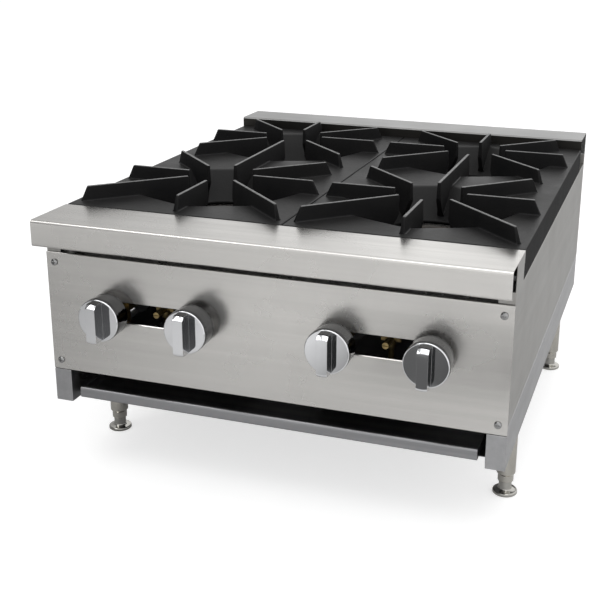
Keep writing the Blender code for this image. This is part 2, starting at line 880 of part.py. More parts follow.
def add_burner_valves():
    """A brass body on a nipple from the manifold, a stem bore at its front and an orifice hood at its back."""
    front = side_front + valve_setback
    bore = stem_radius + stem_clearance
    for name, _, outlet, direction in burner_sites():
        profile = [(bore, 0), (bore, -0.014), (0, -0.014), (0, -valve_length), (valve_radius, -valve_length)]
        profile += [(valve_radius, -0.006), (valve_radius * 0.75, -0.006), (valve_radius * 0.75, 0)]
        mesh = turned("burner_valve", profile, 12)
        valve = add_object(f"burner_valve_{name}", mesh, brass, 40)
        valve.matrix_world = facing_front(outlet.x, front, knob_z)
        inverse = valve.matrix_world.inverted()
        nipple_start = inverse @ Vector((outlet.x, manifold_y, knob_z - valve_radius * 0.5))
        nipple_end = inverse @ Vector((outlet.x, manifold_y, manifold_z + manifold_radius + joint_gap))
        hood_start = inverse @ (outlet - direction * hood_radius)
        hood_end = inverse @ (outlet + direction * (mouth_gap + hood_radius))
        pieces = [
            rod("nipple", nipple_start, nipple_end, nipple_radius, 8),
            rod("hood", hood_start, hood_end, hood_radius, 10),
        ]
        combine(valve, "UNION", pieces)


def add_stems():
    """A round stem from the valve's bore to the knob's socket."""
    back = side_front + valve_setback + 0.012
    front = panel_front - knob_face_reach + 0.012
    for name, _, outlet, _ in burner_sites():
        stem = add_object(f"valve_stem_{name}", turned_stem(back - front), galvanised, 40)
        stem.matrix_world = facing_front(outlet.x, back, knob_z)


def turned_stem(length):
    profile = [(0, 0), (0, length), (stem_radius, length), (stem_radius, 0)]
    return turned("valve_stem", profile, 12)


def bar_outline():
    """The grip bar's front view: a slab that follows the knob's edge at its top and bottom."""
    half = knob_bar_width / 2
    lift = math.degrees(math.asin(half / knob_bar_top))
    drop = math.degrees(math.asin(half / knob_bar_bottom))
    outline = arc((0, 0), knob_bar_top, 90 - lift, 90 + lift, 4)
    outline += arc((0, 0), knob_bar_bottom, 270 - drop, 270 + drop, 4)
    return outline


def add_knobs():
    """A hollow chrome knob: a skirt, a flat face, a grip bar across it and a socket for the stem."""
    bore = stem_radius + stem_clearance
    hub = stem_radius + 0.004
    socket = 0.012 - joint_gap
    rim = 0.0008
    profile = [(0, 0), (knob_radius - rim, 0), (knob_radius, -rim), (knob_radius, -0.006)]
    profile += [(knob_skirt_radius, -knob_skirt_depth), (knob_skirt_radius - knob_wall, -knob_skirt_depth)]
    profile += [(knob_skirt_radius - knob_wall, -0.004), (hub, -0.004), (hub, -knob_skirt_depth + 0.003)]
    profile += [(bore, -knob_skirt_depth + 0.003), (bore, -socket), (0, -socket)]
    for name, _, outlet, _ in burner_sites():
        mesh = turned("knob", profile, 32)
        knob = add_object(f"knob_{name}", mesh, chrome, 35)
        knob.matrix_world = facing_front(outlet.x, panel_front - knob_face_reach, knob_z)
        bar = prism("grip_bar", bar_outline(), -0.002, knob_bar_reach, "Z")
        combine(knob, "UNION", [bar])


def add_pilots():
    """A brass pilot valve between each pair of knobs, with a nut on each side, and a tube to the front burner."""
    body_y = manifold_y
    low = manifold_z + manifold_radius + joint_gap
    for side, sign in columns.items():
        x = sign * column_x
        radius = pilot_valve_radius
        top = knob_z + radius
        profile = [(0, top), (radius, top), (radius, knob_z - 0.012), (radius * 0.6, knob_z - 0.012)]
        profile += [(radius * 0.6, low), (0, low)]
        valve = add_object(f"pilot_valve_{side}", turned("pilot_valve", profile, 12), brass, 40)
        valve.matrix_world = Matrix.Translation((x, body_y, 0))
        screw_start = (0, -radius * 0.5, knob_z)
        screw_end = (0, side_front - body_y + 0.004, knob_z)
        nut_start = (-pilot_nut_reach, 0, knob_z)
        nut_end = (pilot_nut_reach, 0, knob_z)
        pieces = [
            rod("adjuster", screw_start, screw_end, radius * 0.7, 12),
            rod("nuts", nut_start, nut_end, pilot_nut_radius, 6),
        ]
        combine(valve, "UNION", pieces)
        add_pilot_tube(side, x, body_y + radius + joint_gap)


def add_pilot_tube(side, x, start_y):
    """The tube rises behind the valve, runs back above the venturis and ends in an upright tip by the burner."""
    tip_y = burners["front"][0] - bowl_radius - 0.010
    tip_z = rail_top - head_top_drop - head_height
    bend = 0.008
    rise_y = start_y + 2 * bend
    run_z = knob_z + venturi_radius + 2 * pilot_tube_radius
    path = [(start_y, knob_z)]
    path += arc((rise_y - bend, knob_z + bend), bend, 270, 360, 4)
    path += arc((rise_y + bend, run_z - bend), bend, 180, 90, 4)[1:]
    path += arc((tip_y - bend, run_z + bend), bend, 270, 360, 4)
    path += [(tip_y, tip_z)]
    curve = bpy.data.curves.new(f"pilot_tube_{side}", "CURVE")
    curve.dimensions = "3D"
    curve.bevel_depth = pilot_tube_radius
    curve.bevel_resolution = 2
    curve.use_fill_caps = True
    line = curve.splines.new("POLY")
    line.points.add(len(path) - 1)
    for point, (y, z) in zip(line.points, path):
        point.co = (x, y, z, 1)
    tube = bpy.data.objects.new(f"pilot_tube_{side}", curve)
    bpy.context.scene.collection.objects.link(tube)
    colour, roughness, metallic = copper
    curve.materials.append(make_material(f"pilot_tube_{side}", colour, roughness, metallic))


def main():
    clear_scene()
    add_front_rail()
    add_control_panel()
    add_panel_screws()
    add_side_panels()
    add_back_panel()
    add_rear_rail()
    add_grate_ledges()
    add_base_rails()
    add_base_cross()
    add_crumb_tray()
    add_legs()
    add_feet()
    add_grates()
    add_burner_bodies()
    add_burner_heads()
    add_air_shutters()
    add_support_bars()
    add_manifold()
    add_manifold_brackets()
    add_gas_inlet()
    add_burner_valves()
    add_stems()
    add_knobs()
    add_pilots()


main()
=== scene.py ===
"""The looks of a countertop gas hot plate with four burners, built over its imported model.

Metres, +Z up. The front, with the control panel and the knobs, faces -Y. Every mesh is made in the model's own
frame, so a piece's object coordinates are the model's coordinates.
"""

import math

import bmesh
import bpy
from mathutils import Matrix, Vector


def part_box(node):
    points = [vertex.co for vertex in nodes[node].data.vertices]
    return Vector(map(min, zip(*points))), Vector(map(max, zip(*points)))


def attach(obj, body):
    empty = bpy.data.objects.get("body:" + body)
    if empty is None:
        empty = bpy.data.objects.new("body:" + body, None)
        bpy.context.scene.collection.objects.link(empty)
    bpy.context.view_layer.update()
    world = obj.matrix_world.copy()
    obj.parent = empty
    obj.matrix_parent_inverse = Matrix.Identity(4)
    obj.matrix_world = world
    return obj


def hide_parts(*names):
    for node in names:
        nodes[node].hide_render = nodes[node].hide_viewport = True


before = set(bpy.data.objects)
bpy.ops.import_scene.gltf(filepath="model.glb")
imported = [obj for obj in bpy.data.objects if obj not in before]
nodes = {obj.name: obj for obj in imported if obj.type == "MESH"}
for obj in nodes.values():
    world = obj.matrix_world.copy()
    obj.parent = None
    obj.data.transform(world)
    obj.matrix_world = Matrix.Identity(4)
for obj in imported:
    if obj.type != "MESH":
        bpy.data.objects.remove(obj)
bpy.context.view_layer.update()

# Places read from the model
rail_low, rail_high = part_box("front_rail")
panel_low, panel_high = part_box("control_panel")
back_rail_low, back_rail_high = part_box("rear_rail")
grate_low, grate_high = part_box("grate_right")
half_width = rail_high.x
rail_top = rail_high.z
fin_top = grate_high.z
columns = {"left": -1, "right": 1}
quarters = [f"{side}_{place}" for side in columns for place in ("front", "rear")]

# Sizes that the model's boxes don't give
sheet = 0.0012
joint_gap = 0.0003
flange_width = 0.016
side_flange_width = 0.020
bend_radius = 0.0024
edge_round = 0.00025
seam = 0.0009
slot_size = (0.1524, 0.0275)
screw_hole_radius = 0.0027


# Mesh helpers


def mesh_from(name, work):
    bmesh.ops.recalc_face_normals(work, faces=work.faces)
    mesh = bpy.data.meshes.new(name)
    work.to_mesh(mesh)
    work.free()
    return mesh


def prism(name, outline, start, end, axis):
    """Extrudes a closed outline along an axis. The outline's pairs are the other two axes, in X, Y, Z order."""
    others = [index for index in range(3) if index != "XYZ".index(axis)]
    work = bmesh.new()
    corners = []
    for first, second in outline:
        place = [0.0, 0.0, 0.0]
        place["XYZ".index(axis)] = start
        place[others[0]] = first
        place[others[1]] = second
        corners.append(work.verts.new(place))
    face = work.faces.new(corners)
    moved = bmesh.ops.extrude_face_region(work, geom=[face])
    shift = Vector((0, 0, 0))
    shift["XYZ".index(axis)] = end - start
    fresh = [item for item in moved["geom"] if isinstance(item, bmesh.types.BMVert)]
    bmesh.ops.translate(work, verts=fresh, vec=shift)
    return mesh_from(name, work)


def box(name, low, high):
    outline = [(low[0], low[1]), (high[0], low[1]), (high[0], high[1]), (low[0], high[1])]
    return prism(name, outline, low[2], high[2], "Z")


def arc(centre, radius, start, end, steps):
    """Points along an arc, in degrees."""
    found = []
    for step in range(steps + 1):
        angle = math.radians(start + (end - start) * step / steps)
        found.append((centre[0] + radius * math.cos(angle), centre[1] + radius * math.sin(angle)))
    return found


def rounded(line, radius, steps=6):
    """A line of points with an arc in place of each corner."""
    points = [Vector(point) for point in line]
    found = [tuple(points[0])]
    for before, corner, after in zip(points, points[1:], points[2:]):
        inward = (before - corner).normalized()
        outward = (after - corner).normalized()
        half_turn = inward.angle(outward) / 2
        cut = min(radius / math.tan(half_turn), 0.48 * min((before - corner).length, (after - corner).length))
        centre = corner + (inward + outward).normalized() * cut / math.cos(half_turn)
        first = corner + inward * cut - centre
        last = corner + outward * cut - centre
        sweep = first.angle_signed(last)
        for step in range(steps + 1):
            turned_by = -sweep * step / steps
            cosine, sine = math.cos(turned_by), math.sin(turned_by)
            spoke = Vector((first.x * cosine - first.y * sine, first.x * sine + first.y * cosine))
            found.append(tuple(centre + spoke))
    found.append(tuple(points[-1]))
    return found


def folded(line, thickness):
    """The closed outline of a sheet that follows a line of points. The sheet lies on the line's left."""
    points = [Vector(point) for point in line]
    offset = []
    for index, point in enumerate(points):
        normals = []
        for start in (index - 1, index):
            if 0 <= start < len(points) - 1:
                along = (points[start + 1] - points[start]).normalized()
                normals.append(Vector((-along.y, along.x)))
        mitre = sum(normals, Vector((0, 0))).normalized()
        offset.append(point + mitre * thickness / mitre.dot(normals[0]))
    return [tuple(point) for point in points + offset[::-1]]


def turned(name, profile, segments, place=None):
    """A body of revolution about Z. The profile is a closed outline of (radius, height) pairs."""
    work = bmesh.new()
    rings = []
    for radius, height in profile:
        if radius == 0:
            rings.append([work.verts.new((0, 0, height))] * segments)
            continue
        ring = []
        for step in range(segments):
            angle = math.tau * step / segments
            ring.append(work.verts.new((radius * math.cos(angle), radius * math.sin(angle), height)))
        rings.append(ring)
    for index, ring in enumerate(rings):
        following = rings[(index + 1) % len(rings)]
        for step in range(segments):
            onward = (step + 1) % segments
            corners = [ring[step], ring[onward], following[onward], following[step]]
            distinct = list(dict.fromkeys(corners))
            if len(distinct) > 2:
                work.faces.new(distinct)
    mesh = mesh_from(name, work)
    if place:
        mesh.transform(place)
    return mesh


def rod(name, start, end, radius, segments):
    """A solid cylinder between two points."""
    start = Vector(start)
    end = Vector(end)
    along = end - start
    return turned(name, [(0, 0), (radius, 0), (radius, along.length), (0, along.length)], segments, along_axis(start, along))


def along_axis(origin, direction):
    """A frame at a place, with its +Z along a direction."""
    return Matrix.Translation(origin) @ direction.to_track_quat("Z", "X").to_matrix().to_4x4()


def facing_front(x, y, z):
    """Turns +Z of a turned mesh to -Y, and puts its origin at a place."""
    return Matrix.Translation((x, y, z)) @ Matrix.Rotation(math.radians(90), 4, "X")


def joined(name, meshes):
    """One mesh that holds several."""
    work = bmesh.new()
    for mesh in meshes:
        work.from_mesh(mesh)
    made = bpy.data.meshes.new(name)
    work.to_mesh(made)
    work.free()
    return made


def applied(holder):
    """The holder's mesh with its modifiers applied. The holder is removed."""
    shape = holder.evaluated_get(bpy.context.evaluated_depsgraph_get())
    mesh = bpy.data.meshes.new_from_object(shape)
    bpy.data.objects.remove(holder)
    return mesh


def shaped(mesh, joins=(), cuts=()):
    """A mesh with others joined to it and cut from it."""
    holder = bpy.data.objects.new("holder", mesh)
    bpy.context.scene.collection.objects.link(holder)
    tools = []
    for operation, group in (("UNION", joins), ("DIFFERENCE", cuts)):
        for other in group:
            tool = bpy.data.objects.new("tool", other)
            bpy.context.scene.collection.objects.link(tool)
            tools.append(tool)
            modifier = holder.modifiers.new(operation, "BOOLEAN")
            modifier.operation = operation
            modifier.solver = "EXACT"
            modifier.object = tool
    made = applied(holder)
    for tool in tools:
        bpy.data.objects.remove(tool)
    work = bmesh.new()
    work.from_mesh(made)
    bmesh.ops.remove_doubles(work, verts=work.verts, dist=2e-6)
    bmesh.ops.dissolve_limit(work, angle_limit=math.radians(0.4), verts=work.verts, edges=work.edges)
    work.to_mesh(made)
    work.free()
    return made


def softened(mesh, width, segments=2, limit=35):
    """Rounds the edges that are sharper than a limit, and shades the rest smooth."""
    mesh.shade_smooth()
    holder = bpy.data.objects.new("holder", mesh)
    bpy.context.scene.collection.objects.link(holder)
    modifier = holder.modifiers.new("Rounded edges", "BEVEL")
    modifier.width = width
    modifier.segments = segments
    modifier.limit_method = "ANGLE"
    modifier.angle_limit = math.radians(limit)
    modifier.harden_normals = True
    modifier.use_clamp_overlap = True
    weighted = holder.modifiers.new("Flat faces", "WEIGHTED_NORMAL")
    weighted.keep_sharp = True
    return applied(holder)


def smooth(mesh, limit=32):
    mesh.shade_smooth()
    mesh.set_sharp_from_angle(angle=math.radians(limit))
    return mesh


def add_piece(name, mesh, body, finish, slot, *stands_for):
    """Links a piece, and says what it rides on, what it takes its finish from and which nodes it stands for."""
    made = bpy.data.objects.new(name, mesh)
    bpy.context.scene.collection.objects.link(made)
    mesh.materials.clear()
    mesh.materials.append(finish)
    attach(made, body)
    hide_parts(*stands_for)
    return made


def finish_nodes(finish, *names):
    """Gives nodes that stay as they are their material."""
    for name in names:
        node = nodes[name]
        if not node.material_slots:
            node.data.materials.append(finish)
        for held in node.material_slots:
            held.material = finish


# Materials


def add_node(tree, kind, inputs=None, **settings):
    """Adds a shader node. An input is a value, or the socket to link to it."""
    made = tree.nodes.new(kind)
    for key, value in settings.items():
        setattr(made, key, value)
    for key, value in (inputs or {}).items():
        if isinstance(value, bpy.types.NodeSocket):
            tree.links.new(value, made.inputs[key])
        else:
            made.inputs[key].default_value = value
    return made


def noise(tree, place, scale, detail=3.0, roughness=0.55):
    made = add_node(tree, "ShaderNodeTexNoise", {"Vector": place, "Scale": scale, "Detail": detail})
    made.inputs["Roughness"].default_value = roughness
    return made.outputs["Fac"]


def ranged(tree, value, low, high, from_low=0.3, from_high=0.7):
    """Maps a value to a range, and holds it there."""
    given = {"Value": value, "From Min": from_low, "From Max": from_high, "To Min": low, "To Max": high}
    return add_node(tree, "ShaderNodeMapRange", given).outputs["Result"]


def blended(tree, factor, first, second):
    made = add_node(tree, "ShaderNodeMix", data_type="RGBA")
    tree.links.new(factor, made.inputs["Factor"])
    for key, value in (("A", first), ("B", second)):
        socket = [item for item in made.inputs if item.name == key and item.type == "RGBA"][0]
        if isinstance(value, bpy.types.NodeSocket):
            tree.links.new(value, socket)
        else:
            socket.default_value = (*value, 1.0)
    return [item for item in made.outputs if item.type == "RGBA"][0]


def bumped(tree, height, distance, strength=1.0, under=None):
    given = {"Height": height, "Distance": distance, "Strength": strength}
    if under:
        given["Normal"] = under
    return add_node(tree, "ShaderNodeBump", given).outputs["Normal"]


def new_material(name, metallic):
    made = bpy.data.materials.new(name)
    made.use_nodes = True
    tree = made.node_tree
    shader = tree.nodes["Principled BSDF"]
    shader.inputs["Metallic"].default_value = metallic
    place = add_node(tree, "ShaderNodeTexCoord").outputs["Object"]
    return made, tree, shader, place


def brushed_steel(name, axis, colour, rough, grain=1.0):
    """Sheet steel with brush lines along an axis, faint smudges and a slightly uneven gloss."""
    made, tree, shader, place = new_material(name, 1.0)
    fine = [900.0, 900.0, 900.0]
    broad = [90.0, 90.0, 90.0]
    fine["XYZ".index(axis)] = 6.0
    broad["XYZ".index(axis)] = 1.2
    fine_place = add_node(tree, "ShaderNodeMapping", {"Vector": place, "Scale": fine}).outputs["Vector"]
    broad_place = add_node(tree, "ShaderNodeMapping", {"Vector": place, "Scale": broad}).outputs["Vector"]
    lines = noise(tree, fine_place, 1.0, 2.0)
    bands = noise(tree, broad_place, 1.0, 3.0)
    smudge = noise(tree, place, 9.0, 4.0, 0.62)
    dark = tuple(part * (1 - 0.09 * grain) for part in colour)
    light = tuple(min(1.0, part * (1 + 0.07 * grain)) for part in colour)
    streaked = blended(tree, ranged(tree, bands, 0.0, 1.0), dark, light)
    hazy = tuple(part * 0.9 for part in colour)
    tint = blended(tree, ranged(tree, smudge, 0.0, 0.45, 0.45, 0.75), streaked, hazy)
    tree.links.new(tint, shader.inputs["Base Color"])
    gloss = ranged(tree, smudge, rough - 0.035, rough + 0.05)
    tree.links.new(gloss, shader.inputs["Roughness"])
    under = bumped(tree, bands, 0.00006, 0.5)
    tree.links.new(bumped(tree, lines, 0.00003, 0.55 * grain, under), shader.inputs["Normal"])
    return made


def plated(name, colour, rough, haze=0.05):
    """Bright plating with a faint haze and a few rubbed patches."""
    made, tree, shader, place = new_material(name, 1.0)
    patches = noise(tree, place, 55.0, 4.0)
    dust = noise(tree, place, 620.0, 2.0)
    dull = tuple(part * 0.86 for part in colour)
    tree.links.new(blended(tree, ranged(tree, patches, 0.0, 0.6, 0.45, 0.8), colour, dull), shader.inputs["Base Color"])
    tree.links.new(ranged(tree, patches, rough, rough + haze), shader.inputs["Roughness"])
    tree.links.new(bumped(tree, dust, 0.00002, 0.25), shader.inputs["Normal"])
    return made


def cast_iron():
    """Satin black cast iron: sand-cast grain, greyer in patches on the flat tops of the fins as wear and painted
    highlight, and lighter on faces that look upwards as painted light from above.
    """
    made, tree, shader, place = new_material("satin_cast_iron", 0.0)
    grain = noise(tree, place, 1100.0, 3.0, 0.6)
    lumps = noise(tree, place, 150.0, 4.0)
    patches = noise(tree, place, 16.0, 5.0, 0.65)
    height = add_node(tree, "ShaderNodeSeparateXYZ", {"Vector": place}).outputs["Z"]
    facing = add_node(tree, "ShaderNodeNewGeometry").outputs["Normal"]
    upward = add_node(tree, "ShaderNodeSeparateXYZ", {"Vector": facing}).outputs["Z"]
    # The flat tops of the fins are painted greyer in patches: wear and painted highlight.
    near_top = ranged(tree, height, 0.0, 1.0, fin_top - 0.0022, fin_top - 0.0004)
    flat = ranged(tree, upward, 0.0, 1.0, 0.35, 0.9)
    rub = ranged(tree, lumps, 0.45, 1.0, 0.25, 0.6)
    fin_top_wear_and_highlight = add_node(tree, "ShaderNodeMath", {0: near_top, 1: flat}, operation="MULTIPLY").outputs["Value"]
    fin_top_wear_and_highlight = add_node(tree, "ShaderNodeMath", {0: fin_top_wear_and_highlight, 1: rub}, operation="MULTIPLY").outputs["Value"]
    black = blended(tree, ranged(tree, patches, 0.0, 1.0), (0.004, 0.004, 0.0045), (0.009, 0.0088, 0.0088))
    # Faces that look upwards are painted lighter: painted light from above.
    painted_top_light = blended(tree, ranged(tree, patches, 0.0, 1.0), (0.012, 0.012, 0.0122), (0.022, 0.0217, 0.0215))
    black = blended(tree, ranged(tree, upward, 0.0, 1.0, 0.3, 0.95), black, painted_top_light)
    tint = blended(tree, fin_top_wear_and_highlight, black, (0.20, 0.20, 0.20))
    tree.links.new(tint, shader.inputs["Base Color"])
    gloss = ranged(tree, patches, 0.0, 0.12)
    gloss = add_node(tree, "ShaderNodeMath", {0: ranged(tree, upward, 0.74, 0.36, 0.3, 0.9), 1: gloss}, operation="ADD")
    tree.links.new(gloss.outputs["Value"], shader.inputs["Roughness"])
    under = bumped(tree, lumps, 0.0006, 0.35)
    tree.links.new(bumped(tree, grain, 0.0002, 0.5, under), shader.inputs["Normal"])
    shader.inputs["Specular IOR Level"].default_value = 0.16
    return made


def rough_iron():
    """Bare cast iron with a brown bloom of heat and rust."""
    made, tree, shader, place = new_material("burner_iron", 0.35)
    grain = noise(tree, place, 900.0, 3.0, 0.6)
    bloom = noise(tree, place, 42.0, 5.0, 0.65)
    tint = blended(tree, ranged(tree, bloom, 0.0, 1.0, 0.4, 0.7), (0.034, 0.034, 0.033), (0.058, 0.046, 0.038))
    tree.links.new(tint, shader.inputs["Base Color"])
    tree.links.new(ranged(tree, bloom, 0.6, 0.8), shader.inputs["Roughness"])
    tree.links.new(bumped(tree, grain, 0.0003, 0.6), shader.inputs["Normal"])
    return made


def zinc():
    """Galvanised steel with its spangle."""
    made, tree, shader, place = new_material("zinc", 1.0)
    given = {"Vector": place, "Scale": 95.0, "Randomness": 1.0}
    cells = add_node(tree, "ShaderNodeTexVoronoi", given).outputs["Color"]
    level = add_node(tree, "ShaderNodeSeparateColor", {"Color": cells}).outputs["Red"]
    tint = blended(tree, level, (0.36, 0.37, 0.385), (0.50, 0.51, 0.52))
    tree.links.new(tint, shader.inputs["Base Color"])
    tree.links.new(ranged(tree, level, 0.34, 0.52, 0.0, 1.0), shader.inputs["Roughness"])
    tree.links.new(bumped(tree, noise(tree, place, 300.0, 3.0), 0.00008, 0.3), shader.inputs["Normal"])
    return made


def machined(name, colour, tarnish, rough):
    """Machined brass or drawn tube, with tarnish in patches."""
    made, tree, shader, place = new_material(name, 1.0)
    patches = noise(tree, place, 130.0, 5.0, 0.65)
    tint = blended(tree, ranged(tree, patches, 0.0, 1.0, 0.4, 0.7), colour, tarnish)
    tree.links.new(tint, shader.inputs["Base Color"])
    tree.links.new(ranged(tree, patches, rough, rough + 0.2), shader.inputs["Roughness"])
    tree.links.new(bumped(tree, noise(tree, place, 1200.0, 2.0), 0.00003, 0.4), shader.inputs["Normal"])
    return made


def painted_pipe():
    made, tree, shader, place = new_material("painted_pipe", 0.0)
    patches = noise(tree, place, 60.0, 4.0)
    tint = blended(tree, ranged(tree, patches, 0.0, 1.0), (0.018, 0.018, 0.019), (0.034, 0.033, 0.032))
    tree.links.new(tint, shader.inputs["Base Color"])
    tree.links.new(ranged(tree, patches, 0.38, 0.55), shader.inputs["Roughness"])
    tree.links.new(bumped(tree, noise(tree, place, 420.0, 3.0), 0.00015, 0.4), shader.inputs["Normal"])
    return made


steel_across = brushed_steel("steel_brushed_across", "X", (0.655, 0.642, 0.62), 0.25, 0.7)
# A darker copy of the brushed stainless for the side panels: painted shade.
steel_side_painted_shade = brushed_steel("steel_brushed_side_painted_shade", "Y", (0.36, 0.353, 0.337), 0.34, 0.8)
# A darker copy of the brushed stainless for the rear rail: painted shade.
steel_rear_painted_shade = brushed_steel("steel_brushed_rear_painted_shade", "X", (0.265, 0.265, 0.262), 0.30)
# Near-black steel for the rear rail's front face: painted shade.
steel_near_black_painted_shade = brushed_steel("steel_near_black_painted_shade", "X", (0.045, 0.043, 0.04), 0.45)
steel_base = brushed_steel("steel_base", "Y", (0.42, 0.42, 0.428), 0.33)
steel_back = brushed_steel("steel_back", "X", (0.45, 0.44, 0.42), 0.38, 0.6)
steel_tray = brushed_steel("steel_tray", "X", (0.31, 0.31, 0.32), 0.36, 1.4)
chrome = plated("chrome", (0.76, 0.765, 0.78), 0.03, 0.03)
# A near-black copy of the chrome for the knobs' skirts and the tops of their grip bars: painted dark reflection.
chrome_painted_dark_reflection = plated("chrome_painted_dark_reflection", (0.08, 0.081, 0.083), 0.07, 0.12)
nickel = plated("nickel", (0.58, 0.56, 0.515), 0.18, 0.1)
bright_steel = plated("bright_steel", (0.50, 0.49, 0.46), 0.06, 0.05)
screw_steel = plated("screw_steel", (0.34, 0.34, 0.34), 0.07, 0.05)
iron = cast_iron()
burner_iron = rough_iron()
galvanised = zinc()
brass = machined("tarnished_brass", (0.34, 0.26, 0.12), (0.14, 0.10, 0.05), 0.34)
copper = machined("drawn_tube", (0.55, 0.45, 0.38), (0.34, 0.24, 0.18), 0.28)
pipe_paint = painted_pipe()


# Sheet metal


def make_front_rail():
    """The landing ledge, with rounded folds."""
    front = rail_low.y
    lip_bottom = rail_low.z
    line = [(front + 0.007, lip_bottom), (front, lip_bottom), (front, rail_top)]
    line += [(rail_high.y, rail_top), (rail_high.y, rail_top - flange_width)]
    path = rounded(line[:3], bend_radius)[:-1] + rounded(line[1:4], 0.0045, 10)[1:-1] + rounded(line[2:], bend_radius)[1:]
    outline = folded(path[::-1], sheet)
    mesh = softened(prism("front_rail", outline, -half_width, half_width, "X"), edge_round)
    add_piece("front_rail_looks", mesh, "chassis", steel_across, "brushed_stainless", "front_rail")


def panel_screw_places():
    for side in columns:
        for level in ("top", "bottom"):
            low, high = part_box(f"panel_screw_{side}_{level}")
            yield f"{side}_{level}", (low + high) / 2, low.y


def screw_holes(back):
    return [
        rod("hole", (middle.x, panel_low.y - sheet, middle.z), (middle.x, back, middle.z), screw_hole_radius, 24)
        for _, middle, _ in panel_screw_places()
    ]


def flared(middle, height, front):
    """A cutter for the soft mouth of a slot: wider than the slot at the face of the panel."""
    work = bmesh.new()
    corners = [(-1, -1), (1, -1), (1, 1), (-1, 1)]
    rings = []
    for depth, grow in ((-0.0002, 0.0011), (0.0009, 0.0)):
        reach = (slot_size[0] / 2 + grow, slot_size[1] / 2 + grow)
        places = [(middle + side * reach[0], front + depth, height + up * reach[1]) for side, up in corners]
        rings.append([work.verts.new(place) for place in places])
    for index in range(len(corners)):
        onward = (index + 1) % len(corners)
        work.faces.new((rings[0][index], rings[0][onward], rings[1][onward], rings[1][index]))
    work.faces.new(rings[0])
    work.faces.new(rings[1])
    return mesh_from("flare", work)


def make_control_panel():
    """The panel, its two slots and the notches where the side panels come through its flanges."""
    top, bottom = panel_high.z, panel_low.z
    front, back = panel_low.y, panel_high.y
    line = [(back, top), (front, top), (front, bottom), (back, bottom)]
    outline = folded(rounded(line, 0.0016), sheet)
    mesh = prism("control_panel", outline, -half_width, half_width, "X")
    knob_low, knob_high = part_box("knob_right_front")
    middle_z = (knob_low.z + knob_high.z) / 2
    side_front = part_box("side_panel_right")[0].y
    cuts = screw_holes(front + 2 * sheet)
    for sign in columns.values():
        middle = sign * half_width / 2
        half = slot_size[0] / 2
        line = [(middle - half, middle_z - slot_size[1] / 2), (middle + half, middle_z - slot_size[1] / 2)]
        line += [(middle + half, middle_z + slot_size[1] / 2), (middle - half, middle_z + slot_size[1] / 2)]
        cuts.append(prism("slot", line, front - sheet, front + 2 * sheet, "Y"))
        cuts.append(flared(middle, middle_z, front))
        edges = sorted((sign * (half_width - sheet - joint_gap), sign * (half_width + sheet)))
        low = (edges[0], side_front - joint_gap / 2, bottom - sheet)
        cuts.append(box("notch", low, (edges[1], back + sheet, top + sheet)))
        edges = sorted((sign * (half_width - side_flange_width - joint_gap), sign * (half_width + sheet)))
        low = (edges[0], side_front - joint_gap / 2, top - 2 * sheet)
        cuts.append(box("notch", low, (edges[1], back + sheet, top + sheet)))
    mesh = softened(shaped(mesh, cuts=cuts), edge_round)
    add_piece("control_panel_looks", mesh, "chassis", steel_across, "brushed_stainless", "control_panel")


def make_side_panels():
    """Each side sheet with its upright tab under the front rail and its inward flanges."""
    for side, sign in columns.items():
        low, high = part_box(f"side_panel_{side}")
        side_top = back_rail_low.z - joint_gap
        tab_back = rail_high.y - joint_gap - sheet
        outline = [(low.y, low.z), (high.y, low.z), (high.y, side_top), (tab_back, side_top)]
        outline += [(tab_back, high.z), (low.y, high.z)]
        outer = sign * half_width
        inner = sign * (half_width - sheet)
        outline = [(y, z + seam if z < side_top else z) for y, z in outline]
        outline = [(y + seam if y < low.y + sheet else y, z) for y, z in outline]
        mesh = prism("side_panel", outline, outer, inner, "X")
        reach = sorted((outer, sign * (half_width - side_flange_width)))
        front_top = rail_low.z - joint_gap
        flanges = [
            box("front", (reach[0], low.y + seam, low.z + seam), (reach[1], low.y + sheet + seam, front_top)),
            box("back", (reach[0], high.y - sheet, low.z + seam), (reach[1], high.y, side_top)),
            box("top", (reach[0], tab_back, side_top - sheet), (reach[1], high.y, side_top)),
        ]
        holes = [hole for hole, (_, middle, _) in zip(screw_holes(low.y + 3 * sheet), panel_screw_places()) if middle.x * sign > 0]
        mesh = softened(shaped(mesh, flanges, holes), 0.0005, 3)
        # The side panels take the darker copy of the steel: painted shade.
        add_piece(f"side_panel_{side}_looks", mesh, "chassis", steel_side_painted_shade, "brushed_stainless", f"side_panel_{side}")


def make_back_panel():
    low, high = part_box("back_panel")
    inlet_low, inlet_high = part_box("gas_inlet")
    middle_z = (inlet_low.z + inlet_high.z) / 2
    hole = rod("hole", (0, low.y - sheet, middle_z), (0, high.y + sheet, middle_z), 0.0153, 48)
    mesh = softened(shaped(box("back_panel", low, high), cuts=[hole]), edge_round)
    add_piece("back_panel_looks", mesh, "chassis", steel_back, "mill_stainless", "back_panel")


def make_rear_rail():
    """The raised rail behind the grates, in a darker copy of the steel as painted shade, with its front face painted
    near black as painted shade.
    """
    low, high = back_rail_low, back_rail_high
    line = [(low.y, low.z), (low.y, high.z), (high.y, high.z), (high.y, high.z - 0.037)]
    outline = folded(rounded(line, bend_radius)[::-1], sheet)
    mesh = softened(prism("rear_rail", outline, -half_width, half_width, "X"), edge_round)
    # The rail takes the darker copy of the steel: painted shade.
    add_piece("rear_rail_looks", mesh, "chassis", steel_rear_painted_shade, "brushed_stainless", "rear_rail")
    # The front face below the rounded top takes the near-black steel: painted shade.
    mesh.materials.append(steel_near_black_painted_shade)
    for polygon in mesh.polygons:
        if polygon.center.y < low.y + sheet / 2 and polygon.center.z < high.z - bend_radius:
            polygon.material_index = 1


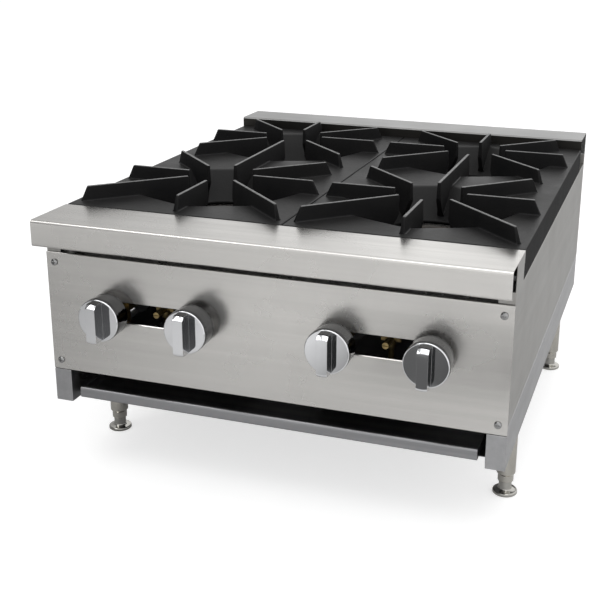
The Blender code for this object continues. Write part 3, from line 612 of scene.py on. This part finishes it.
def make_base_rails():
    """Each base rail: a folded channel with a runner for the tray, and a closed post at its front."""
    for side, sign in columns.items():
        low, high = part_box(f"base_rail_{side}")
        bottom = low.z
        base_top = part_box(f"side_panel_{side}")[0].z - joint_gap
        post_inner = half_width - 0.0244
        start = low.y + 0.0201 - sheet
        line = [
            (half_width - flange_width, base_top),
            (half_width, base_top),
            (half_width, bottom),
            (post_inner, bottom),
            (post_inner, bottom + 0.0046),
            (half_width - 0.046, bottom + 0.0046),
        ]
        channel = [(sign * x, z) for x, z in folded(line[::-1], sheet)]
        mesh = prism("base_rail", channel, start, high.y, "Y")
        web = sorted((sign * half_width, sign * (half_width - sheet)))
        post = sorted((sign * half_width, sign * post_inner))
        web_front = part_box(f"side_panel_{side}")[0].y
        pieces = [
            box("web", (web[0], web_front, bottom), (web[1], start + sheet, base_top)),
            box("post", (post[0], low.y, bottom), (post[1], low.y + 0.0201, panel_low.z - joint_gap)),
        ]
        mesh = softened(shaped(mesh, pieces), 0.0006, 3)
        add_piece(f"base_rail_{side}_looks", mesh, "chassis", steel_base, "brushed_stainless", f"base_rail_{side}")


def make_tray():
    """A shallow pan with folded walls and a rolled bar across its front."""
    low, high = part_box("crumb_tray")
    wall_top = low.z + 0.012
    bar_depth = 0.010
    line = [(low.x, wall_top), (low.x, low.z), (high.x, low.z), (high.x, wall_top)]
    pan = prism("pan", folded(rounded(line, 0.0022), sheet), low.y + bar_depth / 2, high.y, "Y")
    back = box("back", (low.x + 0.001, high.y - sheet, low.z + 0.001), (high.x - 0.001, high.y, wall_top))
    corners = [(low.y, low.z), (low.y, high.z), (low.y + bar_depth, high.z), (low.y + bar_depth, low.z)]
    loop = [((low.y + bar_depth / 2), low.z)] + corners + [((low.y + bar_depth / 2), low.z)]
    bar = prism("bar", rounded(loop, 0.0038, 8)[:-1], low.x, high.x, "X")
    mesh = joined("crumb_tray", [softened(pan, edge_round), softened(back, edge_round), softened(bar, 0.0005, 3)])
    add_piece("crumb_tray_looks", mesh, "crumb_tray", steel_tray, "tray_steel", "crumb_tray")


# Fittings


def make_screws():
    """Domed heads with a cross recess."""
    dome = [(0, 0.0026)] + [(0.0046 * math.sin(math.radians(a)), 0.0008 + 0.0018 * math.cos(math.radians(a))) for a in range(8, 89, 8)]
    profile = dome + [(0.0046, 0.0006), (0.0044, 0), (0.0021, 0), (0.0021, -0.010), (0, -0.010)]
    bars = [box("slot", (-a, -b, 0.0014), (a, b, 0.004)) for a, b in ((0.0026, 0.00045), (0.00045, 0.0026))]
    for name, middle, front in panel_screw_places():
        mesh = shaped(turned("panel_screw", profile, 48), cuts=[bar.copy() for bar in bars])
        mesh = softened(mesh, 0.00008, 1, 50)
        mesh.transform(facing_front(middle.x, front + 0.0026, middle.z))
        add_piece(f"panel_screw_{name}_looks", mesh, "chassis", screw_steel, "polished_chrome", f"panel_screw_{name}")


def make_legs():
    """Plated tubes with a turned neck, on screw-in feet with a flange and a threaded stud."""
    foot_top = 0.018
    for name in quarters:
        low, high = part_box(f"leg_{name}")
        radius = (high.x - low.x) / 2
        place = Matrix.Translation(((low.x + high.x) / 2, (low.y + high.y) / 2, 0))
        neck = 0.0105
        line = [(0, high.z), (radius, high.z), (radius, foot_top + 0.013), (neck, foot_top + 0.010)]
        line += [(neck, low.z), (0.0063, low.z)]
        outline = rounded(line, 0.0012, 4) + [(0.0063, 0.068), (0, 0.068)]
        mesh = smooth(turned("leg", outline, 64, place), 50)
        add_piece(f"leg_{name}_looks", mesh, "chassis", nickel, "polished_chrome", f"leg_{name}")
        low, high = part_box(f"foot_{name}")
        flange = (high.x - low.x) / 2
        line = [(0, high.z), (0.0052, high.z)]
        turns = 30
        for turn in range(turns):
            z = high.z - 0.001 - (high.z - foot_top - 0.002) * turn / turns
            line += [(0.006, z), (0.0053, z - 0.0008)]
        line += [(0.006, foot_top + 0.0004), (0.0085, foot_top), (0.0085, 0.0082)]
        line += arc((0.0105, 0.0082), 0.002, 180, 270, 5)[1:]
        line += [(flange - 0.002, 0.0052)] + arc((flange - 0.0018, 0.0034), 0.0018, 90, 0, 5)
        line += [(flange, 0.0012), (flange - 0.0012, 0), (0, 0)]
        mesh = smooth(turned("foot", line, 64, place), 40)
        add_piece(f"foot_{name}_looks", mesh, f"foot_{name}", bright_steel, "polished_chrome", f"foot_{name}")


def bar_mesh(width, top, bottom, reach):
    """The grip bar: its front leans back at the top, its foot is round, and its ends follow the knob's edge."""
    stations = 9
    work = bmesh.new()
    rings = []
    for station in range(stations):
        x = width * (station / (stations - 1) - 0.5)
        high = math.sqrt(top**2 - x**2)
        low = -math.sqrt(bottom**2 - x**2)
        ring = [(high, -0.002), (high, reach - 0.0062)]
        ring += [(high - 0.0006, reach - 0.0046), (high - 0.0046, reach - 0.0006), (high - 0.0053, reach)]
        ring += [(point[1], point[0]) for point in arc((reach - 0.004, low + 0.004), 0.004, 0, -90, 6)]
        ring += [(low, -0.002)]
        rings.append([work.verts.new((x, y, z)) for y, z in ring])
    for ring, following in zip(rings, rings[1:]):
        for index in range(len(ring)):
            onward = (index + 1) % len(ring)
            work.faces.new((ring[index], ring[onward], following[onward], following[index]))
    work.faces.new(rings[0])
    work.faces.new(rings[-1])
    return mesh_from("grip_bar", work)


def make_knobs():
    """Chrome knobs with a rolled rim, a grip bar with small fillets and a socket for the stem."""
    for name in quarters:
        low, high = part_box(f"knob_{name}")
        middle = (low + high) / 2
        radius = (high.x - low.x) / 2
        reach = 0.018
        face = low.y + reach
        depth = high.y - face
        line = [(0, 0), (radius - 0.0004, 0), (radius, -0.006), (radius - 0.001, -depth + 0.0035), (radius - 0.0006, -depth)]
        line += [(radius - 0.0035, -depth), (radius - 0.0035, -0.004), (0.008, -0.004), (0.008, -depth + 0.003)]
        line += [(0.0043, -depth + 0.003)]
        profile = rounded(line[:3], 0.0016, 8)[:-1] + rounded(line[1:], 0.0007, 3)[1:]
        profile += [(0.0043, -0.0117), (0, -0.0117)]
        bar = bar_mesh(0.0135, 0.027, 0.0255, reach)
        mesh = softened(shaped(turned("knob", profile, 128), [bar]), 0.0007, 3, 42)
        mesh.transform(facing_front(middle.x, face, middle.z))
        add_piece(f"knob_{name}_looks", mesh, f"knob_{name}", chrome, "polished_chrome", f"knob_{name}")
        # The skirts and the tops of the grip bars take the near-black chrome: painted dark reflection.
        mesh.materials.append(chrome_painted_dark_reflection)
        for polygon in mesh.polygons:
            out = math.hypot(polygon.center.x - middle.x, polygon.center.z - middle.z)
            on_skirt = polygon.center.y > face + 0.001 and out > radius - 0.002
            on_bar_top = polygon.center.y < face - 0.001 and polygon.normal.z > 0.8
            polygon.material_index = int(on_skirt or on_bar_top)


# Top grates


hole_radius = 0.057
crease_radius = 0.118
skirt = rail_top - grate_low.z
wall = 0.006
fin_height = fin_top - rail_top
burner_y = {}
for place in ("front", "rear"):
    head_low, head_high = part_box(f"burner_head_right_{place}")
    burner_y[place] = (head_low.y + head_high.y) / 2
between = (burner_y["front"] + burner_y["rear"]) / 2


def cell_limits(sign, place):
    """The part of a grate that belongs to one burner: its lowest and highest X, and its front and back."""
    near = sign * grate_low.x
    far = sign * grate_high.x
    if place == "front":
        return min(near, far), max(near, far), grate_low.y, between
    return min(near, far), max(near, far), between, grate_high.y


def edge_point(centre, limits, angle):
    """Where a ray from the burner's centre leaves its cell of the grate."""
    across, along = math.cos(angle), math.sin(angle)
    reaches = []
    if abs(across) > 1e-6:
        reaches.append(((limits[1] if across > 0 else limits[0]) - centre[0]) / across)
    if abs(along) > 1e-6:
        reaches.append(((limits[3] if along > 0 else limits[2]) - centre[1]) / along)
    return centre[0] + min(reaches) * across, centre[1] + min(reaches) * along


def cell_angles(centre, limits, steps):
    """Angles in each eighth of a turn between two fins, with the cell's four corners among them."""
    corners = [math.atan2(y - centre[1], x - centre[0]) % math.tau for x in limits[:2] for y in limits[2:]]
    angles = [math.tau / 8 * index / steps for index in range(8 * steps)]
    for corner in corners:
        nearest = min(angles, key=lambda angle: abs((angle - corner + math.pi) % math.tau - math.pi))
        angles[angles.index(nearest)] = corner
    return sorted(angles)


def grate_shell(sign):
    """The casting without its fins: a flat top, two eight-sided bowls with softly rounded brims, and a skirt."""
    work = bmesh.new()
    for place, y in burner_y.items():
        limits = cell_limits(sign, place)
        seam = limits[3] if place == "front" else limits[2]
        centre = Vector((sign * half_width / 2, y, 0))
        rings = []
        for angle in cell_angles(centre, limits, 8):
            direction = Vector((math.cos(angle), math.sin(angle), 0))
            within = angle % (math.tau / 8) - math.tau / 16
            crease = crease_radius * math.cos(math.tau / 16) / math.cos(within)
            edge = edge_point(centre, limits, angle)
            reach = (Vector((*edge, 0)) - centre).length
            line = [(hole_radius, rail_top - skirt), (crease, rail_top), (reach, rail_top)]
            ring = []
            for radius, height in rounded(line, 0.013, 5)[:-1]:
                spot = centre + direction * radius
                ring.append((spot.x, spot.y, height))
            ring += [(*edge, rail_top), (*edge, rail_top - skirt)]
            rings.append([work.verts.new(point) for point in ring])
        for index, ring in enumerate(rings):
            following = rings[(index + 1) % len(rings)]
            for level in range(len(ring) - 1):
                corners = (ring[level], ring[level + 1], following[level + 1], following[level])
                on_seam = all(abs(vert.co.y - seam) < 1e-6 for vert in corners)
                if not on_seam or level < len(ring) - 2:
                    work.faces.new(corners)
    bmesh.ops.remove_doubles(work, verts=work.verts, dist=1e-5)
    mesh = mesh_from("grate_shell", work)
    holder = bpy.data.objects.new("holder", mesh)
    bpy.context.scene.collection.objects.link(holder)
    casting = holder.modifiers.new("Casting thickness", "SOLIDIFY")
    casting.thickness = wall
    casting.offset = -1
    casting.use_even_offset = True
    casting.use_quality_normals = True
    return softened(applied(holder), 0.0019, 3, 50)


def fin_surface(radius, length=None):
    """The height of the casting's top along a fin, from the plate."""
    if length:
        radius = min(radius, length - radius)
    slope = skirt / (crease_radius - hole_radius)
    if radius < crease_radius - 0.006:
        return -slope * (crease_radius - radius)
    rise = (radius - crease_radius + 0.006) / 0.012
    return -slope * 0.006 * max(0.0, 1 - rise) ** 2


def fin_bottom(radius, length=None):
    """The fin's lower edge: it slopes down to the brim of the hole, and then runs inside the casting."""
    if length:
        radius = min(radius, length - radius)
    toe = hole_radius + 0.010
    if radius < toe:
        share = (radius - 0.049) / (toe - 0.049)
        return -0.006 + share * (fin_surface(toe) - 0.003 + 0.006)
    return fin_surface(radius) - 0.003


def fin_stations(reach, length):
    """Places along the fin, and how much of its full thickness it has there."""
    end_steps = [(0.0, 0.0), (0.00025, 0.45), (0.0007, 0.78), (0.0014, 1.0)]
    start = 0.049
    middle = [0.053, 0.057, 0.060, 0.063, 0.067, 0.074, 0.083, 0.092, 0.101, 0.108, 0.112, 0.115, 0.118, 0.121, 0.124, 0.128]
    if length:
        half = [radius for radius in middle if radius < length / 2]
        inner = [(radius, 1.0) for radius in half + [length - radius for radius in half[::-1]]]
        finish = length - start
    else:
        inner = [(radius, 1.0) for radius in middle + [(0.128 + reach) / 2]]
        finish = reach
    opening = [(start + step, share) for step, share in end_steps]
    closing = [(finish - step, share) for step, share in end_steps[::-1]]
    return opening + inner + closing


def add_fin(work, centre, angle, reach, length=None):
    """A tapered fin with a fillet where it leaves the casting, a rounded top and a leaning outer end."""
    half_top = 0.0022
    half_foot = 0.0032
    fillet = 0.0028
    end_slope = 0.009
    turn = Matrix.Translation((*centre, rail_top)) @ Matrix.Rotation(angle, 4, "Z")
    rings = []
    for radius, share in fin_stations(reach, length):
        surface = fin_surface(radius, length)
        bottom = fin_bottom(radius, length)
        nearness = min(radius, length - radius) if length else radius
        flare = fillet * min(1.0, max(0.0, (nearness - 0.060) / 0.010))
        foot = max(surface, bottom + 0.0016)
        shrink = 0.0012 * (1 - share)
        lean = 0.0 if length else end_slope * max(0.0, (radius - 0.124) / (reach - 0.124))
        half = [(0.0, bottom + shrink), (half_foot - 0.0012, bottom + shrink), (half_foot - 0.0003, bottom + shrink + 0.0003)]
        half += [(half_foot, bottom + shrink + 0.0012)]
        for step in range(6):
            turned_by = math.radians(18 * step)
            out = flare * (1 - math.sin(turned_by))
            up = flare * (1 - math.cos(turned_by))
            half.append((half_foot + out, foot - 0.0003 + up))
        top = fin_height - shrink * 0.7
        half.append((half_top + (half_foot - half_top) * 0.4, foot + (top - foot) * 0.6))
        for step in range(4):
            turned_by = math.radians(30 * step)
            half.append((half_top - 0.001 + 0.001 * math.cos(turned_by), top - 0.001 + 0.001 * math.sin(turned_by)))
        half.append((0.0, top))
        ring = []
        outline = half + [(-x, z) for x, z in half[-2:0:-1]]
        for x, z in outline:
            narrowed = math.copysign(max(0.0, abs(x) - shrink), x) if x else 0.0
            leaned = radius - lean * min(1.0, max(0.0, z / fin_height))
            ring.append(work.verts.new(turn @ Vector((leaned, narrowed, z))))
        rings.append(ring)
    for ring, following in zip(rings, rings[1:]):
        for index in range(len(ring)):
            onward = (index + 1) % len(ring)
            work.faces.new((ring[index], ring[onward], following[onward], following[index]))
    work.faces.new(rings[0])
    work.faces.new(rings[-1])


def fin_reach(place, centre, limits, angle):
    across = round(math.cos(angle), 6)
    along = round(math.sin(angle), 6)
    toward_middle = 1 if place == "front" else -1
    if not across or not along:
        reach = 0.147
    elif along * toward_middle > 0:
        reach = 0.175
    else:
        reach = 0.200 if place == "front" else 0.168
    edge = Vector(edge_point(centre, limits, angle)) - Vector(centre)
    return min(reach, edge.length - 0.005)


def make_grates():
    for side, sign in columns.items():
        fins = bmesh.new()
        for place, y in burner_y.items():
            centre = (sign * half_width / 2, y)
            limits = cell_limits(sign, place)
            shared = math.tau / 4 * (1 if place == "front" else -1)
            for index in range(8):
                angle = index * math.tau / 8
                if not math.isclose(math.cos(angle - shared), 1):
                    add_fin(fins, centre, angle, fin_reach(place, centre, limits, angle))
        front_centre = (sign * half_width / 2, burner_y["front"])
        add_fin(fins, front_centre, math.tau / 4, None, burner_y["rear"] - burner_y["front"])
        mesh = joined(f"grate_{side}", [grate_shell(sign), smooth(mesh_from("fins", fins), 50)])
        add_piece(f"grate_{side}_looks", mesh, f"grate_{side}", iron, "black_cast_iron", f"grate_{side}")


# Burners and gas train


def make_burner_heads():
    """Cast caps with a ring of ports round the rim and another in the middle."""
    outer = []
    for index in range(28):
        turn = Matrix.Rotation(math.tau * index / 28, 4, "Z")
        port = box("port", (0.0385, -0.0011, 0.0085), (0.048, 0.0011, 0.0165))
        port.transform(turn)
        outer.append(port)
    for index in range(12):
        turn = Matrix.Rotation(math.tau * index / 12, 4, "Z")
        port = box("port", (0.0105, -0.0009, 0.0095), (0.018, 0.0009, 0.0165))
        port.transform(turn)
        outer.append(port)
    height = 0.014
    rim = height * 0.55
    line = [(0, height), (0.012, height), (0.016, rim), (0.026, rim), (0.030, height), (0.042, height), (0.046, rim)]
    line += [(0.046, 0), (0.038, 0)]
    profile = rounded(line, 0.0009, 3) + [(0.036, -0.004), (0, -0.004)]
    base = shaped(turned("burner_head", profile, 96), cuts=[joined("ports", outer)])
    base = softened(base, 0.00025, 1, 40)
    for name in quarters:
        low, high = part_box(f"burner_head_{name}")
        mesh = base.copy()
        mesh.transform(Matrix.Translation(((low.x + high.x) / 2, (low.y + high.y) / 2, high.z - height)))
        add_piece(f"burner_head_{name}_looks", mesh, "chassis", burner_iron, "bare_cast_iron", f"burner_head_{name}")


def make_pilot_valves():
    """Brass bodies with a hexagon nut on each side and a slotted adjusting screw."""
    for side in columns:
        low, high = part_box(f"pilot_valve_{side}")
        x = (low.x + high.x) / 2
        radius = 0.006
        body_y = high.y - radius
        z = high.z - radius
        line = [(0, high.z), (radius, high.z), (radius, z - 0.012), (radius * 0.6, z - 0.012), (radius * 0.6, low.z)]
        body = turned("body", rounded(line, 0.0006, 3) + [(0, low.z)], 32, Matrix.Translation((x, body_y, 0)))
        parts = [smooth(body, 40)]
        for end in (-1, 1):
            start = Vector((x + end * 0.0068, body_y, z))
            nut = rod("nut", start, start + Vector((end * 0.0057, 0, 0)), 0.0055, 6)
            parts.append(softened(nut, 0.0004, 2))
            parts.append(smooth(rod("collar", (x, body_y, z), start, 0.0042, 24)))
        screw = rod("screw", (x, body_y - 0.004, z), (x, low.y, z), 0.0042, 32)
        groove = box("groove", (x - 0.006, low.y - 0.001, z - 0.0006), (x + 0.006, low.y + 0.0014, z + 0.0006))
        parts.append(softened(shaped(screw, cuts=[groove]), 0.0003, 2))
        mesh = joined("pilot_valve", parts)
        add_piece(f"pilot_valve_{side}_looks", mesh, "chassis", brass, "brass", f"pilot_valve_{side}")


def make_inlet():
    """The hexagon and the threaded spigot that the gas line screws on to."""
    low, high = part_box("gas_inlet")
    middle_z = (low.z + high.z) / 2
    bore = 0.0095
    radius = 0.0133
    line = [(0, 0.007), (radius, 0.007), (radius, 0.030)]
    length = high.y - low.y
    turns = 12
    pitch = (length - 0.033) / turns
    for turn in range(turns):
        start = 0.031 + turn * pitch
        line += [(radius - 0.0009, start), (radius, start + pitch * 0.5)]
    line += [(radius - 0.001, length), (bore, length), (bore, length - 0.025), (0, length - 0.025)]
    place = along_axis(Vector((0, low.y, middle_z)), Vector((0, 1, 0)))
    spigot = smooth(turned("spigot", line, 64, place), 30)
    hexagon = turned("hexagon", [(0, 0), (0.019, 0), (0.019, 0.014), (0, 0.014)], 6, place)
    mesh = joined("gas_inlet", [softened(hexagon, 0.0008, 3), spigot])
    add_piece("gas_inlet_looks", mesh, "chassis", galvanised, "galvanised_steel", "gas_inlet")


def finish_hidden_nodes():
    """The inner parts keep their shape and take their materials."""
    for name in quarters:
        finish_nodes(burner_iron, f"burner_body_{name}")
        finish_nodes(brass, f"burner_valve_{name}")
        finish_nodes(galvanised, f"air_shutter_{name}", f"valve_stem_{name}")
    for side in columns:
        finish_nodes(galvanised, f"manifold_bracket_{side}")
        finish_nodes(copper, f"pilot_tube_{side}")
    finish_nodes(galvanised, "base_cross_rear", "grate_ledge_front", "grate_ledge_rear")
    finish_nodes(galvanised, "burner_support_front", "burner_support_rear")
    finish_nodes(pipe_paint, "manifold_pipe")


# Studio


floor_glow = 0.60


def make_floor():
    """A pale floor that is lit a little from below, so that shadows on it stay light."""
    made, tree, shader, place = new_material("pale_floor", 0.0)
    cloud = noise(tree, place, 1.4, 2.0)
    tint = blended(tree, ranged(tree, cloud, 0.0, 1.0), (0.58, 0.58, 0.58), (0.61, 0.61, 0.61))
    tree.links.new(tint, shader.inputs["Base Color"])
    shader.inputs["Roughness"].default_value = 0.65
    shader.inputs["Emission Color"].default_value = (1.0, 1.0, 1.0, 1.0)
    shader.inputs["Emission Strength"].default_value = floor_glow
    work = bmesh.new()
    bmesh.ops.create_grid(work, x_segments=2, y_segments=2, size=9.0)
    mesh = mesh_from("floor", work)
    mesh.materials.append(made)
    floor = bpy.data.objects.new("floor", mesh)
    bpy.context.scene.collection.objects.link(floor)
    floor.location.z = -0.0002


def add_light(name, spot, target, size, power, bounces, colour=(1.0, 1.0, 1.0)):
    lamp = bpy.data.lights.new(name, "AREA")
    lamp.shape = "RECTANGLE"
    lamp.size, lamp.size_y = size
    lamp.energy = power
    lamp.color = colour
    lamp.cycles.max_bounces = bounces
    holder = bpy.data.objects.new(name, lamp)
    bpy.context.scene.collection.objects.link(holder)
    aim = Vector(target) - Vector(spot)
    holder.matrix_world = Matrix.Translation(spot) @ aim.to_track_quat("-Z", "Y").to_matrix().to_4x4()


def times(tree, first, second):
    return add_node(tree, "ShaderNodeMath", {0: first, 1: second}, operation="MULTIPLY").outputs["Value"]


def make_card():
    """What the metal reflects in place of the lit floor: greyer, darkest in front on the right."""
    made, tree, shader, place = new_material("reflection_card", 0.0)
    parts = add_node(tree, "ShaderNodeSeparateXYZ", {"Vector": place})
    across, along = parts.outputs["X"], parts.outputs["Y"]
    rise = ranged(tree, across, 0.39, 0.88, -0.75, -0.20)
    rise = times(tree, rise, ranged(tree, across, 1.0, 1.17, -0.1, 0.4))
    near = ranged(tree, along, 1.0, 0.80, -0.95, -0.68)
    beyond = ranged(tree, along, 0.84, 0.0, -1.35, -1.10)
    level = add_node(tree, "ShaderNodeMath", {0: times(tree, rise, near), 1: beyond}, operation="MAXIMUM").outputs["Value"]
    right_side = times(tree, ranged(tree, across, 0.0, 1.0, 0.31, 0.36), ranged(tree, along, 0.0, 1.0, -0.55, -0.40))
    level = times(tree, level, ranged(tree, right_side, 1.0, 0.76, 0.0, 1.0))
    grey = add_node(tree, "ShaderNodeCombineXYZ", {"X": level, "Y": level, "Z": level}).outputs["Vector"]
    edges = [
        ranged(tree, across, 0.0, 1.0, -0.14, 0.02),
        ranged(tree, across, 1.0, 0.0, 0.36, 0.44),
        ranged(tree, along, 0.0, 1.0, -1.06, -1.02),
        ranged(tree, along, 1.0, 0.0, -0.86, -0.80),
    ]
    shade = edges[0]
    for edge in edges[1:]:
        shade = times(tree, shade, edge)
    dark = ranged(tree, across, 0.13, 0.03, 0.10, 0.26)
    dark = add_node(tree, "ShaderNodeCombineXYZ", {"X": dark, "Y": dark, "Z": dark}).outputs["Vector"]
    tree.links.new(blended(tree, shade, grey, dark), shader.inputs["Base Color"])
    shader.inputs["Roughness"].default_value = 0.9
    shader.inputs["Specular IOR Level"].default_value = 0.0
    mesh = box("card", (-5, -5, 0.0005), (5, 5, 0.001))
    mesh.materials.append(made)
    card = bpy.data.objects.new("reflection_card", mesh)
    bpy.context.scene.collection.objects.link(card)
    card.visible_camera = False
    card.visible_diffuse = False
    card.visible_shadow = False


def make_dome():
    """A white backdrop all round, seen by the camera alone."""
    made, tree, shader, place = new_material("white_backdrop", 0.0)
    cloud = noise(tree, place, 0.2, 2.0)
    tree.links.new(blended(tree, cloud, (0.0, 0.0, 0.0), (0.01, 0.01, 0.01)), shader.inputs["Base Color"])
    shader.inputs["Emission Color"].default_value = (1.0, 1.0, 1.0, 1.0)
    shader.inputs["Emission Strength"].default_value = 1.0
    work = bmesh.new()
    bmesh.ops.create_uvsphere(work, u_segments=48, v_segments=24, radius=8.0)
    mesh = mesh_from("dome", work)
    mesh.materials.append(made)
    dome = bpy.data.objects.new("dome", mesh)
    bpy.context.scene.collection.objects.link(dome)
    dome.visible_diffuse = False
    dome.visible_glossy = False
    dome.visible_shadow = False


def make_world():
    """White all round, brighter towards the right, dimmer overhead and in front on the left."""
    world = bpy.data.worlds.new("studio")
    world.use_nodes = True
    tree = world.node_tree
    way = add_node(tree, "ShaderNodeTexCoord").outputs["Generated"]
    parts = add_node(tree, "ShaderNodeSeparateXYZ", {"Vector": way})
    across, along = parts.outputs["X"], parts.outputs["Y"]
    level = ranged(tree, across, 0.30, 0.93, -0.65, -0.25)
    left = ranged(tree, across, 1.0, 0.0, -0.80, -0.30)
    front = ranged(tree, along, 1.0, 0.0, -0.35, 0.05)
    dim = ranged(tree, times(tree, left, front), 1.0, 0.30, 0.0, 1.0)
    level = times(tree, level, ranged(tree, parts.outputs["Z"], 1.0, 0.84, 0.55, 0.95))
    tree.links.new(times(tree, level, dim), tree.nodes["Background"].inputs["Color"])
    tree.nodes["Background"].inputs["Strength"].default_value = 1.2
    bpy.context.scene.world = world


def make_studio():
    bpy.context.scene.view_settings.view_transform = "Standard"
    make_world()
    make_floor()
    make_card()
    make_dome()
    add_light("overhead", (0.3, -1.0, 2.3), (0, 0, 0.2), (1.8, 1.4), 10.0, 4)
    add_light("edge_light", (-1.2, -1.22, 2.17), (0, -0.38, 0.3), (1.0, 0.8), 7.0, 0)


def add_camera():
    lens_pixels = 1072.94
    frame_pixels = 610.0
    camera = bpy.data.cameras.new("camera")
    camera.sensor_width = 36.0
    camera.lens = lens_pixels / frame_pixels * 36.0
    camera.shift_x = (305.0 - 331.07) / frame_pixels
    camera.shift_y = (262.72 - 305.0) / frame_pixels
    camera.clip_start = 0.01
    holder = bpy.data.objects.new("camera", camera)
    bpy.context.scene.collection.objects.link(holder)
    turn = Matrix.Rotation(0.320, 4, "Z") @ Matrix.Rotation(math.pi / 2 - 0.311, 4, "X") @ Matrix.Rotation(0.009, 4, "Z")
    holder.matrix_world = Matrix.Translation((0.4649, rail_low.y - 1.115, rail_top + 0.3651)) @ turn
    bpy.context.scene.camera = holder


def main():
    add_camera()
    make_studio()
    make_front_rail()
    make_control_panel()
    make_side_panels()
    make_back_panel()
    make_rear_rail()
    make_base_rails()
    make_tray()
    make_screws()
    make_legs()
    make_knobs()
    make_grates()
    make_burner_heads()
    make_pilot_valves()
    make_inlet()
    finish_hidden_nodes()


main()
